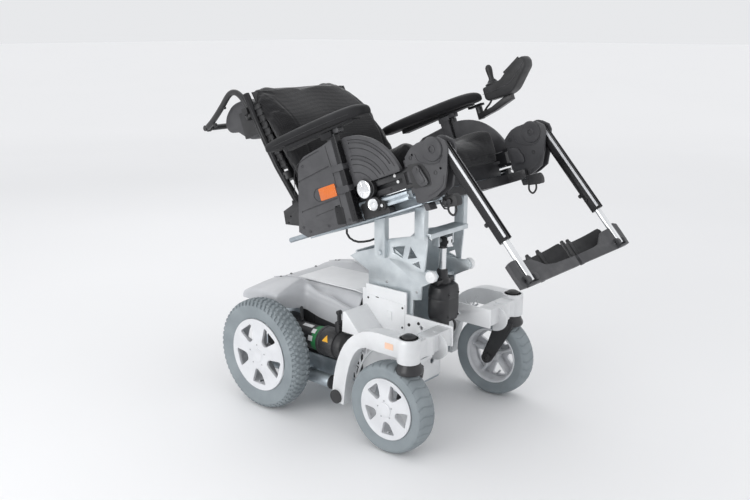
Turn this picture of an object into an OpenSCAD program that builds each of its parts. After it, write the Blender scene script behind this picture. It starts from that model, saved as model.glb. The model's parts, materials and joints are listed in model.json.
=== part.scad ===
// Power wheelchair, rear-wheel drive, with powered seat lift and seat tilt.
// Base coordinates: x forward from the drive axle, y to the occupant's left, z up from the floor.
// Seat coordinates: u forward along the tilted seat, y to the left, w square to the seat.
// Leg coordinates: x forward of the leg tube's centre line, y to the left, z up along the tube.

/* [Wheels] */
// Radius of a drive tyre
drive_r = 178; // [174:1:180]
// Width of a drive tyre
drive_w = 76; // [64:1:76]
// Distance between the drive wheels' mid-planes
drive_track = 594; // [594:1:604]
// Radius of a caster tyre
caster_r = 134; // [126:1:135]
// Width of a caster tyre
caster_w = 73; // [60:1:74]
// Distance between the caster swivel axes
caster_track = 536; // [532:1:540]
// Trail of a caster: how far its axle lies behind the swivel axis
caster_trail = 59; // [50:1:60]
// Swivel axis in front of the drive axle
swivel_x = 561; // [558:1:566]

/* [Seat] */
// Backward tilt of the seat, as parked
seat_tilt = 20.8; // [19:0.1:22]
// Half width of the seat cushion
cushion_half = 213; // [200:1:213]
// Thickness of the seat cushion
cushion_t = 78; // [60:1:90]
// Half width of the back cushion
back_half = 226; // [200:1:226]
// Height of the armrest pad above the seat datum
arm_pad_w = 372; // [370:1:380]

/* [Legs] */
// Lean of a leg tube from the seat's normal
leg_lean = 21.1; // [18:0.1:24]
// Length of the outer leg tube
leg_tube_len = 297; // [290:1:300]
// Reach of the footplate's underside along the leg
foot_reach = 436; // [434:1:440]

/* [Hidden] */
$fn = 48;

RIGHT = -1;
LEFT = 1;

// The frame's origin is on the floor, under the middle of the chair's box
frame_x = 277.28;

running_gap = 0.05;      // radial clearance of every pin and shaft
wheel_y = drive_track / 2;
caster_y = caster_track / 2;
caster_x = swivel_x - caster_trail;

// Lift and tilt
plate_y = 80;            // inner face of a lift plate
plate_t = 6;
flange_y = 88;           // inner face of a tilt flange
flange_t = 5;
wall_y = 96;             // inner face of a housing wall
wall_t = 6;
tilt_pin = [318, 524];   // seat tilt axis, x and z
tilt_pin_r = 8;
rod_pin = [475, 570];    // where the tilt actuator pushes, x and z
rod_x = 475;
rod_r = 12;
column_x = 300;
column_r = 20;

// Seat datum in base coordinates
seat_x = 340;
seat_z = 535;
rail_w = 94;             // underside of the seat rails
rail_h = 28;
cushion_w = 168;         // underside of the seat cushion
recline_pin = [-200, 175];
recline_pin_r = 6;

// Legrests, seat coordinates
leg_y = 246;
hanger_pin = [296, 248];
hanger_pin_r = 7;
knee_pin = [376, 226];
knee_pin_r = 6;
leg_origin = [408, 238];
slider_r = 9.5;
slider_top = 150;
foot_pin_z = -420;       // footplate hinge, leg coordinates
foot_pin_r = 4;

// Joystick, seat coordinates
stick_pin = [262, 296, 402];
box_y = 272;
box_w = 48;

module chair() { translate([-frame_x, 0, 0]) children(); }

module on_side(side) {
    if (side < 0) mirror([0, 1, 0]) children();
    else children();
}

module seat() { translate([seat_x, 0, seat_z]) rotate([0, -seat_tilt, 0]) children(); }

module leg() {
    translate([leg_origin[0], leg_y, leg_origin[1]]) rotate([0, -leg_lean, 0]) children();
}

// A profile of x and z points, pulled along y from y0 to y1
module slab(points, y0, y1) {
    translate([0, y1, 0]) rotate([90, 0, 0]) linear_extrude(y1 - y0) polygon(points);
}

module block(x0, x1, y0, y1, z0, z1) {
    translate([x0, y0, z0]) cube([x1 - x0, y1 - y0, z1 - z0]);
}

// A round bar along y, centred on x and z
module bar_y(x, z, r, y0, y1) {
    translate([x, y1, z]) rotate([90, 0, 0]) cylinder(r = r, h = y1 - y0);
}

module bar_x(y, z, r, x0, x1) {
    translate([x0, y, z]) rotate([0, 90, 0]) cylinder(r = r, h = x1 - x0);
}

module bar_z(x, y, r, z0, z1) { translate([x, y, z0]) cylinder(r = r, h = z1 - z0); }

// Points of an arc about a centre, from angle a0 to a1
function arc(c, r, a0, a1, n) =
    [for (i = [0 : n]) let(a = a0 + (a1 - a0) * i / n) [c[0] + r * cos(a), c[1] + r * sin(a)]];

// Points of a smooth curve with two end points and one control point
function curve(p, q, r, n) =
    [for (i = [0 : n]) let(t = i / n) p * (1 - t) * (1 - t) + q * 2 * t * (1 - t) + r * t * t];

function unit(v) = v / norm(v);

function tangent(path, i) =
    unit(path[min(i + 1, len(path) - 1)] - path[max(i - 1, 0)]);

// Two axes square to the path at each of its points, carried along without twist
function carried(a, t) = unit(a - (a * t) * t);

function side_axes(path) =
    [for (i = 0, a = carried([0.31, 0.52, 0.79], tangent(path, 0)); i < len(path);
          i = i + 1, a = i < len(path) ? carried(a, tangent(path, i)) : a) a];

// One round tube swept along a path, with flat ends
module sweep(path, r, sides) {
    n = len(path);
    axes = side_axes(path);
    rings = [for (i = [0 : n - 1])
        let(a = axes[i], b = cross(tangent(path, i), a))
        for (k = [0 : sides - 1])
            path[i] + r * (cos(360 * k / sides) * a + sin(360 * k / sides) * b)];
    walls = [for (i = [0 : n - 2]) for (k = [0 : sides - 1])
        [(i + 1) * sides + k, (i + 1) * sides + (k + 1) % sides,
         i * sides + (k + 1) % sides, i * sides + k]];
    ends = [[for (k = [0 : sides - 1]) k], [for (k = [sides - 1 : -1 : 0]) (n - 1) * sides + k]];
    polyhedron(rings, concat(walls, ends), convexity = 4);
}

// ---------- chassis ----------

tube_y = 210;
tube_z = 107;
tube_r = 21;
cross_tube = [310, 117];
cross_tube_r = 20;

module base_frame() {
    color("lightsteelblue") chair() {
        difference() {
            union() {
                for (y = [-tube_y, tube_y]) bar_x(y, tube_z, tube_r, -90, 210);
                bar_y(cross_tube[0], cross_tube[1], cross_tube_r, -296, 296);
                // floor tray under the batteries and the lift
                block(-115, 250, -150, 150, 82, 88);
                block(250, 400, -95, 95, 82, 88);
                block(-115, -109, -150, 150, 88, 170);
                for (x = [-80, 60, 180]) block(x, x + 24, -tube_y, tube_y, 88, 98);
                for (y = [-150, 144]) block(-115, 243, y, y + 6, 88, 150);
                // rear tie-down ears, behind the drive wheels
                for (y = [-150, 144]) {
                    block(-192, -100, y, y + 6, 112, 158);
                    bar_y(-192, 135, 23, y, y + 6);
                }
                // uprights that carry the gearboxes
                for (y = [-158, 150]) block(-45, 25, y, y + 8, 88, 300);
            }
            for (y = [-160, 134]) bar_y(-192, 135, 11, y, y + 26);
            for (y = [-tube_y, tube_y]) bar_x(y, tube_z, tube_r - 3, -91, 211);
        }
    }
}

module battery_box() {
    color("dimgray") chair() {
        difference() {
            union() {
                block(-105, 62, -138, 138, 98, 322);
                block(66, 235, -138, 138, 98, 322);
                block(-90, 220, -60, 60, 322, 332);
            }
            for (x = [-60, 110]) block(x, x + 80, -130, -100, 310, 323);
        }
    }
}

arm_reach = 588;
wall_outline = [[244, 88], [400, 88], [400, 190], [446, 240], [446, 288], [arm_reach, 288],
                [arm_reach, 348], [418, 348], [418, 415], [258, 415], [258, 400], [244, 400]];
tie_down = [60, 146];   // front tie-down eye, y and z
tie_down_r = 11;

module lift_housing() {
    color("gainsboro") chair() difference() {
        union() {
            // side walls, with arms forward to the caster heads
            for (y = [-wall_y - wall_t, wall_y]) slab(wall_outline, y, y + wall_t);
            block(244, 250, -wall_y, wall_y, 88, 350);
            block(394, 400, -wall_y, wall_y, 88, 166);
            block(436, 442, -wall_y, wall_y, 244, 288);
        }
        for (s = [RIGHT, LEFT]) bar_x(s * tie_down[0], tie_down[1], tie_down_r, 393, 401);
        for (y = [-wall_y - wall_t - 1, wall_y - 1]) {
            bar_y(475, 318, 7, y, y + wall_t + 2);
            bar_y(cross_tube[0], cross_tube[1], cross_tube_r, y, y + wall_t + 2);
        }
    }
}

module lift_column() {
    color("darkgray") chair() {
        difference() {
            union() {
                bar_z(column_x, 0, 30, 138, 330);
                // gearbox of the lift, in front of the cross tube
                block(332, 392, -34, 34, 88, 170);
                block(310, 332, -20, 20, 140, 170);
            }
            bar_z(column_x, 0, column_r + running_gap, 150, 331);
        }
    }
}

module front_cover(side) {
    outer = [[250, 282], [254, 346], [264, 350], [328, 284], [326, 282]];
    inner = [[256, 281], [260, 339], [262, 341], [319, 281]];
    color("white") chair() on_side(side) difference() {
        slab(outer, 103, 205);
        slab(inner, 103, 199);
    }
}

// The shroud from the side: the fender over a drive wheel, the strip in front of it and the
// middle sheet, each with the space under it
fender_top = concat([[-158, 318], [-155, 346]], curve([-146, 362], [-60, 394], [8, 388], 8));
fender_room = concat([[-152, 310], [-149, 343]], curve([-141, 356], [-60, 387], [9, 382], 8));
strip_top = [[8, 388], [37, 376], [85, 356], [140, 352], [198, 336], [243, 330]];
strip_low = [[243, 300], [190, 265], [90, 276], [8, 300]];
strip_room = [for (p = strip_top) p + [p[0] == 8 ? -1 : p[0] == 243 ? 1 : 0, -6]];
dip_top = [[-150, 336], [-146, 356], [-120, 366], [200, 372], [243, 366], [243, 336]];
dip_room = [[-144, 320], [-141, 352], [-118, 360], [200, 366], [237, 361], [237, 320]];

module rear_shroud() {
    color("silver") chair() {
        for (s = [RIGHT, LEFT]) on_side(s) difference() {
            union() {
                slab(concat(fender_top, [[8, 318]]), 112, 250);
                slab(concat(strip_top, strip_low), 112, 146);
            }
            slab(concat(fender_room, [[9, 310]]), 118, 244);
            slab(concat(strip_room, [[244, 200], [7, 200]]), 111, 140);
            block(-200, 9, 111, 139, 300, 334);
        }
        difference() {
            slab(dip_top, -112, 112);
            slab(dip_room, -106, 106);
        }
    }
}

motor_y = 200;
motor_z = 235;
gear_front = 45;
axle_r = 10;
clutch_pin = [235, 305];
clutch_pin_r = 4;

module motor(side) {
    color("black") chair() on_side(side) {
        // gearbox on the drive axle, then motor and brake along x
        block(-40, gear_front, 160, 250, 150, 280);
        bar_y(0, drive_r, 34, 250, 256);
        bar_y(0, drive_r, axle_r, 250, 322);
        bar_x(motor_y, motor_z, 40, gear_front, 150);
        bar_x(motor_y, motor_z, 46, 150, 232);
        bar_x(motor_y, motor_z, 41, 232, 272);
        // ears of the clutch lever
        for (y = [188, 208]) block(228, 243, y, y + 4, motor_z + 30, clutch_pin[1] + 6);
        bar_y(clutch_pin[0], clutch_pin[1], clutch_pin_r, 190, 210);
    }
}

module clutch_lever(side) {
    color("black") chair() on_side(side) difference() {
        union() {
            bar_y(clutch_pin[0], clutch_pin[1], 8, 193, 207);
            block(clutch_pin[0] - 4, clutch_pin[0] + 4, 195, 205, clutch_pin[1], clutch_pin[1] + 34);
            bar_y(clutch_pin[0], clutch_pin[1] + 34, 7, 193, 207);
        }
        bar_y(clutch_pin[0], clutch_pin[1], clutch_pin_r + running_gap, 190, 210);
    }
}

head_r = 33;
head_z0 = 286;
head_z1 = 352;
stem_r = 12;
arm_outer = concat(curve([291, 98], [304, 350], [470, 356], 12), [[swivel_x, 356]]);
arm_inner = concat([[swivel_x, 300], [440, 300]], curve([425, 300], [356, 292], [338, 98], 10));

module caster_arm(side) {
    color("silver") chair() on_side(side) difference() {
        union() {
            slab(concat(arm_outer, arm_inner), 252, 296);
            bar_z(swivel_x, caster_y, head_r, head_z0, head_z1 + 4);
            // beam from the head in to the housing wall
            block(538, 584, wall_y + wall_t, caster_y - 20, 292, 344);
        }
        bar_z(swivel_x, caster_y, stem_r + running_gap, head_z0 - 1, head_z1 + 5);
        bar_y(cross_tube[0], cross_tube[1], cross_tube_r, 251, 297);
        // pockets between the ribs under the arch
        for (i = [0 : 2]) translate([352 + 20 * i, 251, 176 + 44 * i])
            rotate([0, 20 + 12 * i, 0]) block(-14, 6, 0, 14, -18, 18);
    }
}

module end_caps() {
    color("black") chair() for (s = [RIGHT, LEFT]) on_side(s) {
        bar_z(swivel_x, caster_y, 21, head_z1 + 4, head_z1 + 8);
        translate([swivel_x, caster_y, head_z1 + 8]) cylinder(r1 = 21, r2 = 13, h = 5);
        bar_y(cross_tube[0], cross_tube[1], 21, 296, 301);
        bar_x(tube_y, tube_z, tube_r + 1, 210, 216);
        bar_x(tube_y, tube_z, tube_r + 1, -96, -90);
    }
}

// ---------- wheels ----------

// Tyre section: a crown of radius r over a bead of radius bead, width w
function tyre_section(r, w, bead) =
    concat([[bead, -0.38 * w], [bead, 0.38 * w]],
           [for (i = [0 : 14]) let(a = 78 - 156 * i / 14, k = (r - bead) * 0.52)
               [r - k + k * pow(abs(cos(a)), 0.55), 0.5 * w * sign(sin(a)) * pow(abs(sin(a)), 0.75)]]);

module tyre(x, z, y, r, w, bead) {
    translate([x, y, z]) rotate([90, 0, 0]) rotate_extrude($fn = 96) polygon(tyre_section(r, w, bead));
}

// Wheel body: barrel, dished face with five windows on the outer side, hub and bore
module wheel(x, z, y, bead, w, hub_r, bore_r) {
    face = y + 0.30 * w;
    difference() {
        union() {
            difference() {
                bar_y(x, z, bead, y - 0.38 * w, y + 0.38 * w);
                bar_y(x, z, bead - 8, y - 0.38 * w - 1, y + 0.38 * w + 1);
            }
            difference() {
                bar_y(x, z, bead - 2, face - 8, face);
                for (i = [0 : 4]) translate([x, 0, z]) rotate([0, 72 * i + 18, 0])
                    slab([[bead * 0.80, -bead * 0.24], [bead * 0.86, 0], [bead * 0.80, bead * 0.24],
                          [bead * 0.42, bead * 0.10], [bead * 0.42, -bead * 0.10]],
                         face - 9, face + 1);
            }
            bar_y(x, z, hub_r, y - 0.42 * w, face + 3);
        }
        bar_y(x, z, bore_r + running_gap, y - 0.5 * w, face + 4);
    }
}

drive_bead = 118;
caster_bead = 92;
caster_axle_r = 6;

module drive_tyre(side) {
    color("silver") chair() on_side(side) tyre(0, drive_r, wheel_y, drive_r, drive_w, drive_bead);
}

module drive_rim(side) {
    color("white") chair() on_side(side)
        wheel(0, drive_r, wheel_y, drive_bead, drive_w, 26, axle_r);
}

module caster_tyre(side) {
    color("silver") chair() on_side(side)
        tyre(caster_x, caster_r, caster_y, caster_r, caster_w, caster_bead);
}

module caster_rim(side) {
    color("white") chair() on_side(side)
        wheel(caster_x, caster_r, caster_y, caster_bead, caster_w, 18, caster_axle_r);
}

fork_y0 = caster_y - 61;
fork_y1 = caster_y - 44;

module caster_fork(side) {
    blade = concat(
        [[swivel_x + 22, 284], [swivel_x - 24, 284]],
        curve([swivel_x - 40, 270], [caster_x - 30, 210], [caster_x - 20, caster_r], 8),
        arc([caster_x, caster_r], 20, 180, 360, 8),
        curve([caster_x + 22, caster_r + 20], [caster_x + 40, 210], [swivel_x + 26, 262], 6));
    color("black") chair() on_side(side) {
        bar_z(swivel_x, caster_y, stem_r, 284, head_z1);
        bar_z(swivel_x, caster_y, 30, 272, 284);
        block(swivel_x - 24, swivel_x + 24, fork_y0, caster_y, 272, 284);
        slab(blade, fork_y0, fork_y1);
        bar_y(caster_x, caster_r, caster_axle_r, fork_y0 - 6, caster_y + 30);
    }
}

// ---------- lift carriage ----------

lift_outline = [[256, 246], [428, 246], [432, 392], [461, 399], [463, 439], [493, 456], [514, 466],
                [521, 482], [510, 497], [480, 494], [430, 500], [356, 540], [330, 549], [300, 546],
                [284, 529], [206, 502], [178, 486], [256, 452]];

module lift_plates() {
    color("lightsteelblue") chair() for (s = [RIGHT, LEFT]) on_side(s) {
        slab(lift_outline, plate_y, plate_y + plate_t);
        bar_y(tilt_pin[0], tilt_pin[1], tilt_pin_r, plate_y + plate_t, 112);
        bar_y(506, 481, 13, plate_y + plate_t, 91);
        // guide pads that run along the housing walls
        for (z = [256, 316]) block(262, 424, plate_y + plate_t, wall_y - 0.5, z, z + 24);
    }
}

module lift_crossbeam() {
    color("lightsteelblue") chair() difference() {
        union() {
            block(196, 332, -plate_y, plate_y, 488, 494);
            block(196, 202, -plate_y, plate_y, 494, 506);
            block(326, 332, -plate_y, plate_y, 460, 488);
            bar_z(column_x, 0, column_r, 240, 488);
            // bar that holds the tilt actuator
            block(424, rod_x - 16, -plate_y, plate_y, 440, 452);
        }
        for (y = [-50, 50]) bar_z(228, y, 6, 480, 500);
    }
}

module tilt_actuator() {
    color("black") chair() difference() {
        union() {
            bar_z(rod_x, 0, 17, 452, 480);
            block(rod_x - 16, rod_x + 16, -40, 40, 436, 452);
            // motor and gearbox, and the foot of the tube
            block(rod_x - 28, rod_x + 45, -46, 46, 322, 436);
            bar_z(rod_x, 0, 24, 268, 322);
        }
        bar_z(rod_x, 0, rod_r + running_gap, 274, 481);
    }
}

// The pin slot of the rod head is longer and wider than its pin
pin_slot_r = 10;
pin_slot_x = [rod_pin[0] - 4, rod_pin[0] + 12];

module actuator_rod() {
    color("silver") chair() {
        bar_z(rod_x, 0, rod_r, 345, 556);
        difference() {
            block(rod_x - 26, rod_x + 25, -12, 12, 554, 583);
            for (x = pin_slot_x) bar_y(x, rod_pin[1], pin_slot_r, -13, 13);
            block(pin_slot_x[0], pin_slot_x[1], -13, 13, rod_pin[1] - pin_slot_r, rod_pin[1] + pin_slot_r);
        }
    }
}

// ---------- seat ----------

// Everything above the underside of the seat rails
module above_rails() { seat() block(-600, 800, -400, 400, rail_w, rail_w + 600); }

flange_outline = [[300, 520], [306, 540], [345, 569], [457, 596], [486, 596], [486, 573], [482, 531],
                  [478, 488], [424, 488], [396, 506], [330, 508], [310, 508]];

module tilt_frame() {
    color("lightsteelblue") chair() {
        difference() {
            union() {
                for (s = [RIGHT, LEFT]) on_side(s) {
                    difference() {
                        slab(flange_outline, flange_y, flange_y + flange_t);
                        slab([[356, 545], [404, 557], [396, 518], [362, 528]], 80, 100);
                        slab([[425, 558], [451, 528], [415, 518]], 80, 100);
                        slab([[432, 506], [457, 518], [463, 497]], 80, 100);
                    }
                    // rear and front posts up to the seat's cross tubes
                    block(298, 338, flange_y, flange_y + 20, 510, 700);
                    block(452, 486, flange_y, flange_y + 20, 590, 760);
                    block(rod_pin[0] - 12, rod_pin[0] + 12, 32, 38, 556, 600);
                }
                block(452, 500, -flange_y - flange_t, flange_y + flange_t, 600, 606);
                block(494, 500, -flange_y - flange_t, flange_y + flange_t, 592, 600);
            }
            bar_y(tilt_pin[0], tilt_pin[1], tilt_pin_r + running_gap, -113, 113);
            above_rails();
        }
        bar_y(rod_pin[0], rod_pin[1], 6, -38, 38);
    }
}

module seat_frame() {
    color("lightsteelblue") chair() seat() {
        for (s = [RIGHT, LEFT]) on_side(s) {
            difference() {
                block(-160, 290, 212, 238, rail_w, rail_w + rail_h);
                block(-161, 291, 216, 239, rail_w + 4, rail_w + rail_h - 4);
                for (u = [-120 : 60 : 240]) bar_z(u, 226, 4, rail_w - 1, rail_w + 6);
            }
            // inner part of the rail, past the legrest
            block(282, 345, 206, 219, rail_w, rail_w + rail_h);
            // grooved rail along the outside
            difference() {
                block(60, 268, 238, 260, 118, 141);
                block(59, 269, 254, 261, 126, 133);
            }
            bar_x(198, 108, 8, -292, -150);
            block(-158, -138, 190, 212, 98, 118);
            block(-140, 262, 140, 156, rail_w + rail_h, 160);
        }
        // cross tubes; the posts stand under the middle two
        for (u = [-140, -14, 134, 240]) block(u, u + 42, -212, 212, rail_w, rail_w + rail_h);
        // seat pan with a front lip
        difference() {
            block(-150, 264, -213, 213, 160, cushion_w);
            for (u = [-100, 140]) block(u, u + 60, -110, 110, 159, cushion_w + 1);
        }
        block(256, 264, -200, 200, 124, 160);
    }
}

module seat_cushion() {
    profile = concat([[-150, cushion_w], [276, cushion_w]],
        [[282, cushion_w + 30]],
        arc([262, cushion_w + cushion_t - 18], 18, 0, 90, 5),
        [[100, cushion_w + cushion_t - 16], [-60, cushion_w + cushion_t - 12],
         [-150, cushion_w + cushion_t - 6]]);
    color("black") chair() seat() slab(profile, -cushion_half, cushion_half);
}

module side_rail(side) {
    color("black") chair() seat() on_side(side) difference() {
        union() {
            block(-168, 272, 240, 256, 150, 194);
            block(-120, -60, 238, 240, 152, 190);
            block(120, 180, 238, 240, 152, 190);
            // rear bracket that holds the backrest's hinge
            slab([[-243, 158], [-236, 198], [-167, 213], [-160, 190], [-160, 140], [-172, 136]], 240, 246);
            bar_y(recline_pin[0], recline_pin[1], recline_pin_r, 214, 246);
            // lugs and pin of the legrest hanger
            for (w = [146, 190]) {
                block(266, hanger_pin[0], 240, 256, w, w + 10);
                bar_z(hanger_pin[0], hanger_pin[1], 8, w, w + 10);
            }
            bar_z(hanger_pin[0], hanger_pin[1], hanger_pin_r, 128, 222);
            // feet down to the seat rail, and bosses of the knobs
            for (u = [-110, 40, 200]) block(u, u + 26, 238, 244, rail_w + rail_h + 22, 150);
            bar_y(133, 182, 20, 256, 272);
            bar_y(137, 136, 15, 260.5, 272);
        }
        block(-150, 262, 246, 257, 166, 178);
        for (u = [-226, -210]) bar_y(u, 160 + (u + 226), 3, 236, 250);
    }
}

guard_centre = [105, 160];
guard_r = 175;

module side_guards() {
    color("dimgray") chair() seat() for (s = [RIGHT, LEFT]) on_side(s)
        difference() {
            slab(concat([[100, 196], [100, 332]], arc(guard_centre, guard_r, 88, 14, 18), [[272, 196]]),
                 258, 270);
            // concentric grooves
            for (g = [[158, 134], [112, 88]])
                slab(concat(arc(guard_centre, g[0], 84, 24, 12), arc(guard_centre, g[0] - 4, 24, 84, 12)),
                     267, 271);
            bar_y(133, 182, 21, 257, 271);
        }
}

cable_rear = [[-150, -69, 112], [-166, -69, 100], [-172, -70, 82], [-164, -72, 66], [-148, -74, 54],
              [-128, -76, 46], [-104, -77, 42], [-78, -76, 40], [-54, -74, 42], [-34, -72, 48],
              [-22, -70, 60], [-20, -69, 76], [-26, -69, 92]];
cable_front = [[300, -150, 120], [312, -150, 108], [318, -152, 92], [316, -155, 76], [308, -158, 66],
               [298, -160, 70], [292, -160, 84], [290, -160, 100], [292, -158, 120]];

module wiring() {
    color("black") chair() seat() {
        sweep(cable_rear, 3.5, 10);
        sweep(cable_front, 2.5, 8);
        block(284, 322, -168, -120, 120, 132);
    }
}

// ---------- backrest ----------

back_y = 218;
back_r = 11;
back_path = [[-190, back_y, 208], [-212, back_y, 268], [-236, back_y, 336], [-254, back_y, 405],
             [-266, back_y, 460], [-277, back_y, 520], [-288, back_y, 585]];

module back_frame() {
    color("black") chair() seat() {
        for (s = [RIGHT, LEFT]) on_side(s) {
            sweep(back_path, back_r, 16);
            difference() {
                slab(concat(arc(recline_pin, 15, 180, 360, 8), [[-178, 215], [-202, 222]]), 224, 232);
                bar_y(recline_pin[0], recline_pin[1], recline_pin_r + running_gap, 223, 233);
            }
        }
        bar_y(-246, 378, 9, -210, 210);
        bar_y(-274, 505, 9, -210, 210);
    }
}

shell_face = [[-186, 236], [-196, 290], [-216, 350], [-231, 405], [-245, 460], [-259, 530], [-272, 586]];

module back_shell() {
    color("black") chair() seat() difference() {
        union() {
            slab(concat(shell_face, [for (i = [6 : -1 : 0]) shell_face[i] - [5, 0]]), -205, 205);
            // moulded cases behind the tubes
            for (s = [RIGHT, LEFT]) on_side(s) block(-378, -312, 130, 191, 462, 546);
            for (s = [RIGHT, LEFT]) on_side(s) block(-312, -262, 150, 190, 522, 542);
        }
        // headrest mounting holes
        translate([-250.5, 0, 480]) rotate([0, -101.5, 0])
            for (a = [45 : 90 : 315]) rotate([0, 0, a]) translate([30, 0, -30]) cylinder(r = 4, h = 60);
    }
}

back_side = [[-184, 240], [-194, 292], [-214, 352], [-229, 407], [-243, 462], [-257, 532], [-264, 570],
             [-262, 592], [-248, 602], [-230, 592], [-208, 540], [-172, 460], [-142, 380], [-130, 320],
             [-136, 268], [-152, 246]];
back_top = [[back_half, 238], [back_half, 500], [back_half - 10, 545], [back_half - 34, 577],
            [back_half - 74, 596], [back_half - 130, 604]];

module back_cushion() {
    front = concat(back_top, [for (i = [len(back_top) - 1 : -1 : 0]) [-back_top[i][0], back_top[i][1]]]);
    color("black") chair() seat() intersection() {
        slab(back_side, -back_half, back_half);
        translate([-300, 0, 0]) rotate([90, 0, 90]) linear_extrude(200) polygon(front);
    }
}

push_path = [[-300, 206, 520], [-312, 206, 556], [-324, 206, 584], [-340, 206, 604], [-358, 206, 613],
             [-376, 206, 613], [-396, 206, 606], [-430, 204, 590], [-470, 202, 573], [-510, 199, 559],
             [-536, 196, 553], [-548, 188, 551], [-552, 174, 551]];

module push_bar() {
    color("black") chair() seat() {
        full = concat(push_path, [for (i = [len(push_path) - 1 : -1 : 0])
            [push_path[i][0], -push_path[i][1], push_path[i][2]]]);
        sweep(full, 10, 14);
        // clamps that join the bar to the back tubes
        for (s = [RIGHT, LEFT]) on_side(s) block(-318, -292.5, 192, 229, 524, 546);
    }
}

// ---------- armrests ----------

panel_outline = [[-148, 121], [-117, 98], [50, 98], [88, 98], [92, 130], [92, 318], [79, 340], [35, 332],
                 [-44, 324], [-66, 314], [-80, 296], [-108, 225]];

swing_pin = [186, 300];
swing_pin_r = 5;

module armrest(side) {
    // plate and pin that carry the joystick, on the left side only
    if (side == LEFT) color("black") chair() seat() {
        block(150, 202, 292, 312, 360, 367);
        bar_z(swing_pin[0], swing_pin[1], swing_pin_r, 322, 362);
    }
    color("dimgray") chair() seat() on_side(side) difference() {
        union() {
            slab(panel_outline, 274, 288);
            // post with its socket strap
            slab([[60, 98], [94, 98], [84, 360], [50, 360]], 262, 274);
            block(46, 90, 262, 292, 346, 362);
            // support under the pad
            slab([[-110, 358], [180, 368], [180, arm_pad_w - 1], [-110, arm_pad_w - 1]], 258, 292);
            slab([[50, 250], [94, 250], [94, 268], [50, 268]], 262, 291);
            slab([[50, 190], [94, 190], [94, 206], [50, 206]], 262, 291);
        }
        // moulded grooves
        slab([[-92, 262], [44, 274], [44, 270], [-92, 258]], 285, 289);
        slab([[-112, 176], [44, 182], [44, 178], [-112, 172]], 285, 289);
        slab([[18, 112], [44, 112], [44, 160], [24, 160]], 282, 289);
        for (p = [[-100, 112], [-20, 112], [-124, 130]]) bar_y(p[0], p[1], 3.5, 284, 289);
    }
}

module arm_pad(side) {
    w = arm_pad_w;
    profile = [[-185, w + 8], [-181, w + 20], [-140, w + 30], [-44, w + 37], [80, w + 39], [155, w + 34],
               [205, w + 24], [218, w + 10], [212, w], [-170, w]];
    color("dimgray") chair() seat() on_side(side) slab(profile, 238, 298);
}

// ---------- joystick ----------

module joystick_arm() {
    color("black") chair() seat() difference() {
        union() {
            bar_z(swing_pin[0], swing_pin[1], 11, 318, 358);
            slab([[186, 318], [250, 326], [318, 342], [318, 360], [300, 360], [240, 342], [186, 336]],
                 288, 308);
        }
        bar_z(swing_pin[0], swing_pin[1], swing_pin_r + running_gap, 321, 359);
    }
}

box_outline = concat([[236, 364], [318, 360], [338, 366], [362, 384], [400, 416]],
                     arc([390, 440], 11, -20, 130, 5), [[338, 432], [306, 410], [232, 408]]);

module joystick_box() {
    color("black") chair() seat() difference() {
        slab(box_outline, box_y, box_y + box_w);
        bar_z(stick_pin[0], stick_pin[1], 19, 390, 420);
        bar_y(stick_pin[0], stick_pin[2], 2 + running_gap, stick_pin[1] - 22, stick_pin[1] + 22);
        block(288, 300, 290, 302, 402, 412);
    }
}

module joystick_gimbal() {
    color("dimgray") chair() seat() difference() {
        union() {
            bar_z(stick_pin[0], stick_pin[1], 12, stick_pin[2] - 3, stick_pin[2] + 3);
            bar_y(stick_pin[0], stick_pin[2], 2, stick_pin[1] - 21, stick_pin[1] + 21);
        }
        bar_z(stick_pin[0], stick_pin[1], 8, stick_pin[2] - 4, stick_pin[2] + 4);
        bar_x(stick_pin[1], stick_pin[2], 1.5 + running_gap, stick_pin[0] - 13, stick_pin[0] + 13);
    }
}

module joystick_stick() {
    color("black") chair() seat() translate(stick_pin) {
        cylinder(r = 4, h = 50);
        translate([0, 0, -4]) cylinder(r = 5, h = 8);
        rotate([0, 90, 0]) translate([0, 0, -11.5]) cylinder(r = 1.5, h = 23);
        translate([0, 0, 13]) cylinder(r1 = 15, r2 = 6, h = 12);
        translate([0, 0, 46]) cylinder(r1 = 6, r2 = 10, h = 10);
        translate([0, 0, 56]) sphere(r = 10);
    }
}

module joystick_button() {
    color("silver") chair() seat() block(288.5, 299.5, 290.5, 301.5, 405, 411);
}

// ---------- legrests ----------

legrest_outline = [[296, 104], [296, 226], [312, 238], [327, 247], [348, 251], [383, 252], [415, 248],
                   [435, 232], [438, 215], [418, 160], [395, 118], [366, 106], [330, 97], [310, 98]];

module legrest(side) {
    color("dimgray") chair() seat() on_side(side) difference() {
        union() {
            slab(legrest_outline, 222, 264);
            bar_z(hanger_pin[0], hanger_pin[1], 16, 130, 220);
            bar_y(knee_pin[0], knee_pin[1], 21, 262, 266);
        }
        // slot for the leg tube
        block(352, 460, 231, 258, 88, 270);
        bar_z(hanger_pin[0], hanger_pin[1], hanger_pin_r + running_gap, 90, 270);
        // notches for the hanger's lugs
        for (w = [145, 189]) difference() {
            union() {
                bar_z(hanger_pin[0], hanger_pin[1], 20, w, w + 12);
                block(270, hanger_pin[0], 220, 270, w, w + 12);
            }
            block(hanger_pin[0], 340, 222, 229, w - 1, w + 13);
        }
        for (p = [[322, 226], [400, 170]]) bar_y(p[0], p[1], 3.5, 258, 265);
    }
    color("silver") chair() seat() on_side(side) bar_y(knee_pin[0], knee_pin[1], knee_pin_r, 229, 260);
    color("dimgray") chair() seat() on_side(side) bar_y(330, 186, 4, 262, 276);
}

module legrest_lever(side) {
    color("dimgray") chair() seat() on_side(side) difference() {
        slab(concat(arc([330, 186], 10, 20, 180, 6), [[315, 152], [327, 140], [350, 140], [356, 148]]),
             264.6, 274);
        bar_y(330, 186, 4 + running_gap, 263, 275);
    }
}

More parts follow.
